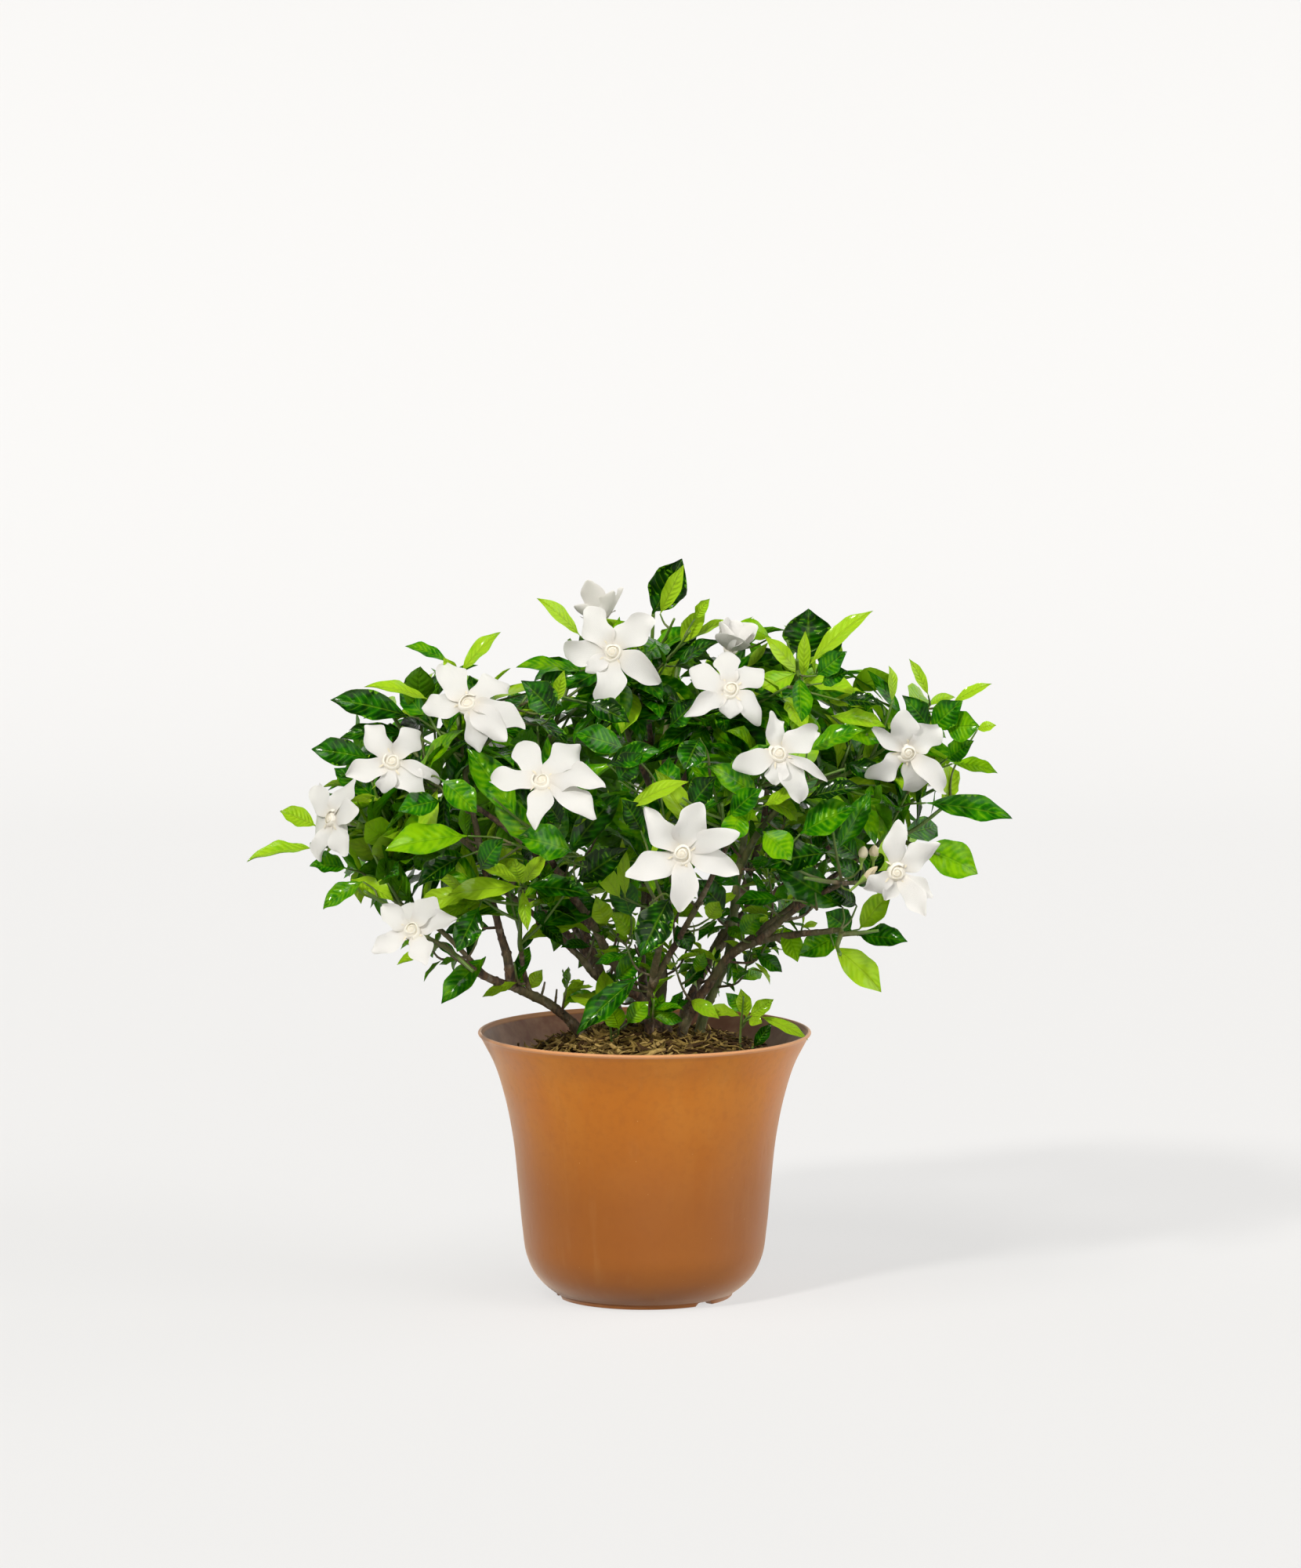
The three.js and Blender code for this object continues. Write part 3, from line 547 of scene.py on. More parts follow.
class Graph:
    """A material's node tree while it is made."""

    def __init__(self, name: str) -> None:
        """Starts an empty material of that name."""
        self.material = bpy.data.materials.new(name)
        self.material.use_nodes = True
        self.tree = self.material.node_tree
        self.tree.nodes.clear()

    def node(self, kind: str, inputs: dict | None = None, **settings: object) -> bpy.types.Node:
        """Adds a node.

        Args:
            kind: the node's type, without the words that all shader nodes start with.
            inputs: what each socket, by number or name, holds or is linked to.
            settings: its own settings, set first.

        Returns:
            The node.
        """
        made = self.tree.nodes.new(f"ShaderNode{kind}")
        for name, setting in settings.items():
            setattr(made, name, setting)
        for place, value in (inputs or {}).items():
            value = value.socket if isinstance(value, Value) else value
            if isinstance(value, Socket):
                self.tree.links.new(value, made.inputs[place])
            else:
                made.inputs[place].default_value = value
        return made

    def math(self, operation: str, *values: Signal) -> Value:
        """A Math node's result."""
        return Value(self, self.node("Math", dict(enumerate(values)), operation=operation).outputs[0])

    def tag(self, name: str) -> Value:
        """A number stored on the mesh."""
        return Value(self, self.node("Attribute", attribute_name=name).outputs["Fac"])

    def place(self, scale: Point = (1.0, 1.0, 1.0)) -> Socket:
        """The object's own coordinates, in metres, stretched by a scale."""
        own = self.node("TexCoord").outputs["Object"]
        return self.node("Mapping", {"Vector": own, "Scale": scale}).outputs[0]

    def height(self) -> Value:
        """The height above the floor in metres."""
        return Value(self, self.node("SeparateXYZ", {0: self.place()}).outputs["Z"])

    def noise(self, size: float, detail: float, scale: Point = (1.0, 1.0, 1.0), warp: float = 0.0) -> Value:
        """Noise from 0 to 1.

        Args:
            size: how many millimetres its blotches are across, about.
            detail: how many times finer noise is added.
            scale: how much it is squeezed along each axis.
            warp: how much it is distorted.

        Returns:
            The noise.
        """
        fineness = {"Scale": 1 / (size * MM), "Detail": detail, "Distortion": warp}
        return Value(self, self.node("TexNoise", {"Vector": self.place(scale), **fineness}).outputs["Fac"])

    def specks(self, size: float) -> Value:
        """The distance to the nearest of scattered points that stand about size millimetres apart."""
        sockets = {"Vector": self.place(), "Scale": 1 / (size * MM)}
        return Value(self, self.node("TexVoronoi", sockets).outputs["Distance"])

    def blend(self, mask: Signal, low: object, high: object) -> Socket:
        """The colour low where the mask is 0 and high where it is 1."""
        low, high = ((*colour, 1.0) if isinstance(colour, tuple) else colour for colour in (low, high))
        return self.node("Mix", {0: mask, 6: low, 7: high}, data_type="RGBA").outputs[2]

    def layers(self, colour: object, *over: tuple[Signal, object]) -> Socket:
        """A colour under others, each given as a mask and the colour that it shows."""
        for mask, top in over:
            colour = self.blend(mask, colour, top)
        return colour

    def bump(self, height: Value, depth_mm: float, strength: float = 1.0) -> Socket:
        """The normal of a surface raised by height times depth_mm."""
        sockets = {"Height": height, "Distance": depth_mm * MM, "Strength": strength}
        return self.node("Bump", sockets).outputs[0]

    def finish(self, glow: Colour | None = None, share: Signal = 0.0, **inputs: object) -> Material:
        """Ends the tree in a Principled shader, mixed with light let through from behind if glow is given.

        Args:
            glow: the colour of the light let through.
            share: how much of the surface is light let through.
            inputs: the Principled shader's sockets, named in small letters with low lines for spaces.

        Returns:
            The material.
        """
        sockets = {k.replace("_", " ").title().replace("Ior", "IOR"): held for k, held in inputs.items()}
        shader = self.node("BsdfPrincipled", sockets).outputs[0]
        if glow is not None:
            through = self.node("BsdfTranslucent", {"Color": (*glow, 1.0)}).outputs[0]
            shader = self.node("MixShader", {0: share, 1: shader, 2: through}).outputs[0]
        self.node("OutputMaterial", {"Surface": shader})
        return self.material


@dataclass(frozen=True)
class PotPlastic:
    """Satin orange-brown plastic: faint clouds, pale specks and hair scratches, darker and duller inside,
    with painted shade towards the bottom and a painted highlight along the lip.
    """

    body: Colour = (0.53, 0.16, 0.006)
    warm: Colour = (0.57, 0.19, 0.013)
    # darker tone for the mottle, and also the painted shade towards the bottom
    shadow: Colour = (0.228, 0.066, 0.008)
    speck: Colour = (0.62, 0.34, 0.12)
    inside: Colour = (0.23, 0.1, 0.058)
    inside_light: Colour = (0.35, 0.18, 0.105)
    # pale colour of the painted highlight along the lip
    lip: Colour = (0.66, 0.4, 0.24)
    roughness: float = 0.46

    def material(self) -> Material:
        """The material; the tag part is 0 outside, 1 inside and between them on the lip."""
        g = Graph("pot_plastic")
        clouds = g.noise(38, 5, (1.0, 1.0, 0.6), 0.8).between(0.32, 0.7)
        mottle = g.noise(5, 4).between(0.42, 0.75)
        streaks = g.noise(9, 3, (1.0, 1.0, 0.12)).between(0.55, 0.8)
        # painted shade: the colour darkens towards the bottom of the pot
        low = 1 - g.height().between(0.06, 0.18)
        dots = (1 - g.specks(6.5).between(0.02, 0.07)) * g.noise(14, 2).between(0.5, 0.62)
        part = g.tag("part")
        # where the painted highlight along the lip goes
        lip = part.between(0.2, 0.4) * (1 - part.between(0.6, 0.8))
        inside = g.blend(g.noise(12, 4).between(0.35, 0.7), self.inside, self.inside_light)
        colour = g.layers(
            self.body, (clouds, self.warm), (low * 0.82, self.shadow), (mottle * 0.16, self.shadow),
            (streaks * 0.07, self.speck), (dots * 0.7, self.speck), (part.between(0.6, 0.9), inside),
            (lip * 0.42, self.lip),
        )
        fine = g.noise(0.7, 2) * 0.4 + g.noise(3.5, 3)
        scratches = g.noise(1.6, 2, (1.0, 1.0, 0.05)).between(0.6, 0.7)
        return g.finish(
            base_color=colour, roughness=self.roughness + 0.12 * clouds + 0.1 * scratches - 0.06,
            normal=g.bump(fine + scratches * 0.2, 0.05, 0.6), specular_ior_level=0.26, sheen_weight=0.44,
            sheen_roughness=0.45, sheen_tint=(1.0, 0.8, 0.62, 1.0),
        )


@dataclass(frozen=True)
class Earth:
    """Damp potting mix: nearly black crumbs with a few pale grains."""

    dark: Colour = (0.01, 0.007, 0.005)
    light: Colour = (0.055, 0.036, 0.022)
    grain: Colour = (0.3, 0.25, 0.17)

    def material(self) -> Material:
        """The material."""
        g = Graph("potting_mix")
        grains = (1 - g.specks(4).between(0.06, 0.16)) * 0.5
        colour = g.layers(self.dark, (g.noise(3, 6).between(0.4, 0.75), self.light), (grains, self.grain))
        return g.finish(base_color=colour, roughness=0.9, normal=g.bump(g.noise(1.5, 5) + g.noise(5, 4), 0.7))


@dataclass(frozen=True)
class Fibre:
    """Dry curled fibre: tan, olive and brown strands, each of one tone, with brown stains."""

    tan: Colour = (0.5, 0.34, 0.11)
    olive: Colour = (0.24, 0.16, 0.036)
    brown: Colour = (0.06, 0.03, 0.01)

    def material(self) -> Material:
        """The material; the tag shade chooses each strand's tone."""
        g = Graph("mulch_fibre")
        shade, stain = g.tag("shade"), g.noise(2.2, 5).between(0.35, 0.8) * 0.5
        tones = (shade.between(0.15, 0.5), self.olive), (shade.between(0.5, 0.95), self.tan)
        colour = g.layers(self.brown, *tones, (stain, self.brown))
        normal = g.bump(g.noise(0.8, 4), 0.3)
        return g.finish(base_color=colour, roughness=0.8, specular_ior_level=0.15, normal=normal)


@dataclass(frozen=True)
class Bark:
    """Thin brown bark: long fine ridges, grey-green patches, and green skin on the youngest wood."""

    brown: Colour = (0.16, 0.088, 0.042)
    dark: Colour = (0.032, 0.017, 0.009)
    grey: Colour = (0.3, 0.24, 0.165)
    moss: Colour = (0.13, 0.13, 0.045)
    green: Colour = (0.05, 0.13, 0.008)
    fresh: Colour = (0.12, 0.2, 0.018)

    def material(self) -> Material:
        """The material; the tag age is 1 on old wood and 0 on green twigs."""
        g = Graph("bark")
        ridges = g.noise(2.2, 5, (1.0, 1.0, 0.28), 0.6)
        pores = 1 - g.specks(3).between(0.08, 0.2)
        young = 1 - g.tag("age").between(0.15, 0.75)
        colour = g.layers(
            self.dark, (ridges.between(0.35, 0.7), self.brown),
            (g.noise(24, 3).between(0.42, 0.62) * 0.6, self.moss),
            (g.noise(7, 4).between(0.52, 0.72) * 0.65, self.grey), (pores * 0.5, self.grey),
            (young, g.blend(g.noise(3, 3), self.green, self.fresh)),
        )
        normal = g.bump(ridges + pores * 0.4, 0.45, 0.9)
        return g.finish(base_color=colour, roughness=0.72 - 0.25 * young, normal=normal)


class LeafStage(Enum):
    """How old a leaf is, which sets its shader."""

    MATURE = "mature"
    YOUNG = "young"


@dataclass(frozen=True)
class LeafSkin:
    """A leaf's skin: glossy above, paler and duller below, with a light midrib and arched side veins."""

    stage: LeafStage
    deep: Colour
    middle: Colour
    light: Colour
    vein: Colour
    below: Colour
    glow: Colour
    share: float
    roughness: float
    veins: float = 9.0

    def material(self) -> Material:
        """The material, patterned by the tags along, across, age, shade and under."""
        g = Graph(f"leaf_{self.stage.value}")
        along, across = g.tag("along"), abs(g.tag("across"))
        age, shade, under = g.tag("age"), g.tag("shade"), g.tag("under")
        arch = (along - across**1.3 * 0.19) * self.veins + shade * 3.0
        ridge = abs(arch.fract() - 0.5) * 2.0
        taper = (1 - across.between(0.55, 1.0)) * along.between(0.03, 0.14)
        side_vein = ridge.between(0.8, 1.0) * taper * g.noise(11, 2).between(0.3, 0.62)
        midrib = 1 - across.between(0.02, 0.1)
        veins = side_vein.math("MAXIMUM", midrib)
        quilt = ridge.between(0.0, 1.0) * taper
        patches = g.noise(9, 3).between(0.3, 0.75)
        tone = (age * 0.75 + shade * 0.35 + patches * 0.3 - 0.2 - quilt * 0.12).clamp()
        colour = g.blend(tone.between(0.45, 0.95), self.middle, self.deep)
        colour = g.layers(
            g.blend(tone.between(0.08, 0.68), self.light, colour), (veins * (0.5 - tone * 0.3), self.vein),
            (across.between(0.9, 1.0) * 0.2, self.vein), (under * 0.75, self.below),
        )
        height = (1 - quilt) * 0.55 + g.noise(2.5, 3) * 0.25 - midrib * 0.8
        return g.finish(
            self.glow, self.share * (1 - tone * 0.86), base_color=colour,
            roughness=self.roughness + 0.12 * g.noise(6, 3) + 0.24 * under, specular_ior_level=0.14,
            specular_tint=(0.7, 1.0, 0.3, 1.0), coat_weight=0.28, coat_roughness=0.12,
            normal=g.bump(height, 0.85, 0.85),
        )


@dataclass(frozen=True)
class PetalSkin:
    """A petal's skin: soft white with a cream heart that is partly its own tone and partly painted shade,
    fine veins along its length and a faint sheen.
    """

    name: str = "petal"
    white: Colour = (0.835, 0.825, 0.8)
    cream: Colour = (0.9, 0.8, 0.62)
    glow: Colour = (0.92, 0.9, 0.86)
    share: float = 0.4
    vein: Colour = (0.8, 0.76, 0.64)

    def material(self) -> Material:
        """The material, patterned by the tags along, across and age; age 1 is a faded or inner petal."""
        g = Graph(self.name)
        along, across, age = g.tag("along"), g.tag("across"), g.tag("age")
        fan = across * 11 + g.noise(5, 2) * 1.6
        veins = (abs(fan.fract() - 0.5) * 2.0).between(0.72, 1.0) * (1 - along.between(0.7, 0.98))
        colour = g.layers(
            # cream at the petal's foot: its own tone, and painted shade round the heart
            self.white, ((1 - along.between(0.0, 0.34)) * 0.4, self.cream), (age * 0.5, self.cream),
            (veins * 0.1, self.vein), (g.noise(7, 3).between(0.5, 0.8) * 0.06, self.cream),
        )
        normal = g.bump(veins * -0.6 + g.noise(4, 3) * 0.7, 0.35, 0.6)
        shine = {"roughness": 0.55, "specular_ior_level": 0.35}
        return g.finish(self.glow, self.share, base_color=colour, normal=normal, **shine)


@dataclass(frozen=True)
class GreenSkin:
    """The smooth skin of flower cups, stalks and buds, from pale yellow-green to fresh green."""

    pale: Colour = (0.44, 0.55, 0.12)
    fresh: Colour = (0.16, 0.34, 0.02)
    glow: Colour = (0.35, 0.5, 0.08)

    def material(self) -> Material:
        """The material; the tag age chooses between pale and fresh."""
        g = Graph("green_skin")
        colour = g.blend((g.tag("age") + g.noise(3, 3) * 0.4 - 0.2).clamp(), self.pale, self.fresh)
        normal = g.bump(g.noise(1.2, 3), 0.12)
        return g.finish(self.glow, 0.15, base_color=colour, roughness=0.42, normal=normal)


@dataclass(frozen=True)
class StudioFloor:
    """Matt pale paper for the floor and the sweep behind it."""

    paper: Colour = (0.22, 0.218, 0.215)
    cloud: Colour = (0.2, 0.197, 0.192)
    glow: Colour = (0.605, 0.6, 0.592)

    def material(self) -> Material:
        """The material."""
        g = Graph("studio_paper")
        colour = g.blend(g.noise(400, 2) * 0.04, self.paper, self.cloud)
        light = {"emission_color": (*self.glow, 1.0), "emission_strength": 1.0}
        return g.finish(base_color=colour, roughness=0.9, specular_ior_level=0.1, **light)


# --- pot and soil


@dataclass
class Pot:
    """The flared pot: a turned wall with a thin lip, a round bottom, a notched foot ring and drain holes."""

    height: float = 179.0
    rim_radius: float = 111.5
    wall: float = 2.4
    foot_radius: float = 59.0
    foot_width: float = 6.0
    foot_height: float = 3.4
    lip_radius: float = 1.25
    sides: int = 192
    notch_count: int = 3
    notch_turn: float = 43.0
    notch_width: float = 13.0
    notch_height: float = 2.6
    drain_circle: float = 40.0
    drain_radius: float = 4.0
    line: tuple[tuple[float, float], ...] = (
        (61, 3.4), (67, 8), (74, 16), (79, 27), (82, 46), (84.5, 72), (88.6, 110), (93.8, 135.6),
        (101, 158.4), (109.5, 175),
    )

    def wall_line(self) -> Array:
        """The outer line from the bottom's edge to under the lip, (n, 2), as radius and height."""
        flat = [(r, 0.0, z) for r, z in self.line]
        return smooth_path(flat, 2.2)[:, [0, 2]]

    def inner_radius(self, height: Array) -> Array:
        """The inside radius of the wall at a height."""
        line = self.wall_line()
        return np.interp(height, line[:, 1], line[:, 0]) - self.wall

    def profile(self) -> tuple[Array, Array]:
        """The closed line that is turned round the axis, and the tag part of its points."""
        outer = self.wall_line()
        base, floor = self.foot_height, self.foot_height + self.wall
        angle = np.linspace(-0.2 * math.pi, 1.1 * math.pi, 12)
        centre = np.array([self.rim_radius - self.lip_radius, self.height - self.lip_radius])
        lip = centre + self.lip_radius * np.stack([np.cos(angle), np.sin(angle)], axis=1)
        inner = (outer - [self.wall, 0])[outer[:, 1] > floor + 3][::-1]
        foot_in, foot_out = self.foot_radius - self.foot_width, self.foot_radius
        under = [[4, base], [25, base], [foot_in - 0.8, base], [foot_in, base - 0.6], [foot_in, 0.5]]
        under += [[foot_in + 0.5, 0.0], [foot_out - 0.6, 0.0], [foot_out, 0.6], [foot_out + 0.3, base - 0.5]]
        inside_floor = [[foot_out + 6, floor + 1.2], [foot_out, floor], [25, floor], [4, floor]]
        line = np.concatenate([under, outer, lip, inner, inside_floor])
        outside, inside = len(under) + len(outer), len(inner) + len(inside_floor)
        return line, np.concatenate([np.zeros(outside), np.linspace(0.45, 0.55, len(lip)), np.ones(inside)])

    def patch(self) -> Patch:
        """The wall: the profile turned round the axis, with the foot ring raised in its notches."""
        line, part = self.profile()
        angle = turns(self.sides)
        radius = np.broadcast_to(line[:, :1], (len(line), self.sides))
        step = TURN / self.notch_count
        off = (angle - math.radians(self.notch_turn - 90) + step / 2) % step - step / 2
        half = 0.5 * self.notch_width / self.foot_radius
        notch = self.notch_height * (1 - smoothstep(half * 0.8, half * 1.15, np.abs(off)))
        ring = (radius > self.foot_radius - self.foot_width - 1) & (radius < self.foot_radius + 1)
        height = np.where(ring, np.maximum(line[:, 1:], notch), line[:, 1:])
        rings = np.stack([radius * np.cos(angle), radius * np.sin(angle), height], axis=-1)
        poles = (self.foot_height + np.array([[0], [self.wall]])) * UP
        return loft(rings[None], poles[:1], poles[1:]).tag(part=part)

    def drain_bars(self) -> list[Patch]:
        """Short bars where the base has its drain holes."""
        angle = math.radians(self.notch_turn - 90) + turns(self.notch_count)
        heights = self.foot_height + np.array([-2.0, 1.2, self.wall + 2.0])
        feet = self.drain_circle * np.stack([np.cos(angle), np.sin(angle), 0 * angle], axis=1)
        return [tube(foot + heights[:, None] * UP, np.full(3, self.drain_radius), 32) for foot in feet]

    def build(self) -> Thing:
        """Makes the pot, with its drain holes cut through."""
        made = piece("pot_shell", [self.patch()], [PotPlastic().material()])
        cutter = piece("drain_cutter", self.drain_bars(), [])
        cut = made.modifiers.new("drains", "BOOLEAN")
        cut.operation, cut.solver, cut.object = "DIFFERENCE", "EXACT", cutter
        graph = bpy.context.evaluated_depsgraph_get()
        holed = bpy.data.meshes.new_from_object(made.evaluated_get(graph))
        made.modifiers.clear()
        made.data = holed
        bpy.data.objects.remove(cutter)
        return settle(made, "pot", "pot")


@dataclass
class SoilBed:
    """The soil in the pot: a turned body with a lumpy top, and crumbs lying on it."""

    pot: Pot
    edge: float = 158.0
    crown: float = 166.0
    level_radius: float = 34.0
    clearance: float = 0.5
    bottom: float = 6.2
    sides: int = 144
    crumbs: int = 420
    crumb_reach: float = 92.0
    seed: int = 5

    def top(self, radius: Array) -> Array:
        """The height of the soil at a distance from the axis: level round the stems, falling to the wall."""
        rim = self.pot.inner_radius(np.array(self.edge)) - 1
        t = np.clip((radius - self.level_radius) / (rim - self.level_radius), 0, 1)
        return self.crown + (self.edge - self.crown) * t

    def lumps(self, x: Array, y: Array) -> Array:
        """Small hollows and rises: a sum of crossed waves of falling size."""
        broad = 1.1 * np.sin(x / 7.3 + 1.7) * np.sin(y / 6.1 + 0.4)
        middling = 0.6 * np.sin(x / 2.9 - y / 3.7) * np.sin(y / 2.3 + 2.0)
        return broad + middling + 0.35 * np.sin(x / 1.3 + y / 1.9 + 1.0)

    def body(self) -> Patch:
        """The closed body of the soil."""
        rim = float(self.pot.inner_radius(np.array(self.edge))) - self.clearance
        heights = np.array([self.bottom, 9, 14, 22, 34, 50, 75, 100, 120, 136, 147, self.edge - 2])
        radii = self.pot.inner_radius(heights) - self.clearance
        radii[:2] = [self.pot.foot_radius, self.pot.foot_radius + 2.5]
        top_radii = np.linspace(rim - 0.5, 2, 42)
        angle, level = turns(self.sides), np.ones(self.sides)
        radius = np.concatenate([radii, top_radii])[:, None]
        x, y = radius * np.cos(angle), radius * np.sin(angle)
        height = np.concatenate([heights, self.top(top_radii)])[:, None] * level
        height[len(heights) :] += self.lumps(x, y)[len(heights) :]
        poles = np.array([[self.bottom], [self.crown]]) * UP
        return loft(np.stack([x, y, height], axis=-1)[None], poles[:1], poles[1:])

    def crumb_patch(self, rng: Random) -> Patch:
        """Crumbs: small squashed balls with a ragged radius, sunk a little into the soil."""
        x, y, _ = scattered(rng, self.crumbs, self.crumb_reach)
        at = np.stack([x, y, self.top(np.hypot(x, y)) + self.lumps(x, y) + 0.4], axis=1)
        size = rng.uniform(0.8, 2.6, self.crumbs)
        tilt, angle = math.pi * np.array([[0.22], [0.5], [0.78]]), turns(6)
        level, squash = np.sin(tilt), 0.7
        depth = -squash * np.cos(tilt) * np.ones(6)
        ball = np.stack([level * np.cos(angle), level * np.sin(angle), depth], axis=-1)
        ragged = rng.uniform(0.7, 1.3, (self.crumbs, 3, 6, 1))
        drop = (squash * size)[:, None] * UP
        return loft(at[:, None, None] + size[:, None, None, None] * ball * ragged, at - drop, at + drop)

    def build(self) -> Thing:
        """Makes the soil."""
        patches = [self.body(), self.crumb_patch(np.random.default_rng(self.seed))]
        return settle(piece("soil_bed", patches, [Earth().material()]), "soil", "potting_soil")


@dataclass
class Mulch:
    """Loose fibre on the soil: a ragged mound under a tangle of curled strands and flat chips."""

    soil: SoilBed
    radius: float = 84.0
    shift: float = 9.0
    thickness: float = 8.0
    strands: int = 560
    strand_shift: float = -13.0
    strand_reach: float = 0.75
    chips: int = 420
    chip_shift: float = 26.0
    chip_reach: float = 64.0
    seed: int = 8

    def top(self, x: Array, y: Array) -> Array:
        """The mound's height: the soil's, and a cap that thins out to its edge."""
        share = np.clip(np.hypot(x - self.shift, y) / self.radius, 0, 1)
        return self.soil.top(np.hypot(x, y)) + self.thickness * (1.2 - share**4)

    def mound(self) -> Patch:
        """The mound: a closed lens whose top is lumpy."""
        share, angle = np.linspace(0.04, 1, 22)[:, None], turns(96)
        x, y = self.shift + self.radius * share * np.cos(angle), self.radius * share * np.sin(angle)
        lumps = self.soil.lumps(1.7 * x + 3, 1.7 * y) * 0.8 * (1 - share**6)
        top = np.stack([x, y, self.top(x, y) - 2.2 + lumps], axis=-1)
        low = np.stack([x, y, self.soil.top(np.hypot(x, y)) - 1.5], axis=-1)
        poles = np.array([[self.shift, 0, self.soil.crown - 1.5], [self.shift, 0, self.soil.crown + 5]])
        return loft(np.concatenate([low, top[::-1]])[None], poles[:1], poles[1:]).tag(shade=0.1)

    def strand_patch(self, rng: Random) -> Patch:
        """The strands: flat ribbons along plane arcs that lie on the mound and lift at their ends."""
        n, steps = self.strands, 9
        start_x, start_y, turn = scattered(rng, n, self.radius * self.strand_reach, self.strand_shift)
        step = rng.uniform(16, 48, n)[:, None] / steps
        heading = rng.normal(0, 0.8, n) + math.pi * rng.integers(0, 2, n)
        bend = rng.normal(0, 1.3, n)
        t = np.linspace(-0.5, 0.5, steps)
        angle = heading[:, None] + bend[:, None] * t + 0.8 * np.sin(7 * t[None] + turn[:, None])
        x = start_x[:, None] + np.cumsum(np.cos(angle) * step, axis=1)
        y = start_y[:, None] + np.cumsum(np.sin(angle) * step, axis=1)
        edge = self.radius * 1.12
        limit = edge / np.maximum(np.hypot(x - self.shift, y), edge)
        x, y = self.shift + (x - self.shift) * limit, y * limit
        lift = rng.uniform(-1.5, 2.0, n)[:, None] + rng.uniform(0, 5.5, n)[:, None] * t**2 * 4
        lift = lift + 0.9 * np.sin(9 * t[None] + heading[:, None])
        path = np.stack([x, y, self.top(x, y) + lift], axis=-1)
        tangent = unit(np.gradient(path, axis=1))
        side = across_of(np.cross(np.broadcast_to(UP, tangent.shape), tangent), tangent)
        tilt = rng.normal(0, 0.5, n)[:, None, None] + 1.2 * t[None, :, None] * bend[:, None, None]
        side, normal = rolled(side, np.cross(tangent, side), tilt)
        half = (rng.uniform(0.7, 2.3, n)[:, None] * (1 - 2.2 * t**2))[..., None]
        thick = half * rng.uniform(0.16, 0.4, n)[:, None, None]
        rings = path[:, :, None] + oval(turns(6), side[:, :, None], normal[:, :, None], half, thick)
        return loft(rings, path[:, 0], path[:, -1]).tag(shade=rng.uniform(0, 1, n)[:, None])

    def chip_patch(self, rng: Random) -> Patch:
        """The chips: flat flakes of bark with uneven outlines, lying at all angles."""
        n, around = self.chips, 7
        x, y, _ = scattered(rng, n, self.chip_reach, self.chip_shift)
        at = np.stack([x, y, self.top(x, y) + rng.uniform(-0.5, 2.5, n)], axis=1)
        normal = unit(np.stack([rng.normal(0, 0.45, n), rng.normal(0, 0.45, n), np.ones(n)], axis=1))
        side = across_of(rng.normal(0, 1, (n, 3)), normal)
        size = rng.uniform(1.4, 4.0, n)[:, None] * rng.uniform(0.75, 1.15, (n, around))
        flat = oval(turns(around), side[:, None], np.cross(normal, side)[:, None], size, 0.55 * size)
        rings = at[:, None, None] + np.stack([0.8 * flat, flat, 0.8 * flat], axis=1)
        rings += np.array([-0.35, 0.0, 0.35])[None, :, None, None] * normal[:, None, None]
        return loft(rings, at - 0.4 * normal, at + 0.4 * normal).tag(shade=rng.uniform(0, 0.5, n)[:, None])

    def build(self) -> Thing:
        """Makes the mulch."""
        rng = np.random.default_rng(self.seed)
        patches = [self.mound(), self.strand_patch(rng), self.chip_patch(rng)]
        return settle(piece("mulch_layer", patches, [Fibre().material()]), "mulch", "fibre_mulch")


# --- wood

ROOTING = 146.0


@dataclass(frozen=True)
class Limb:
    """A stretch of wood: its radius at its two ends, and the points that it passes through."""

    radii: tuple[float, float]
    path: tuple[Point, ...]


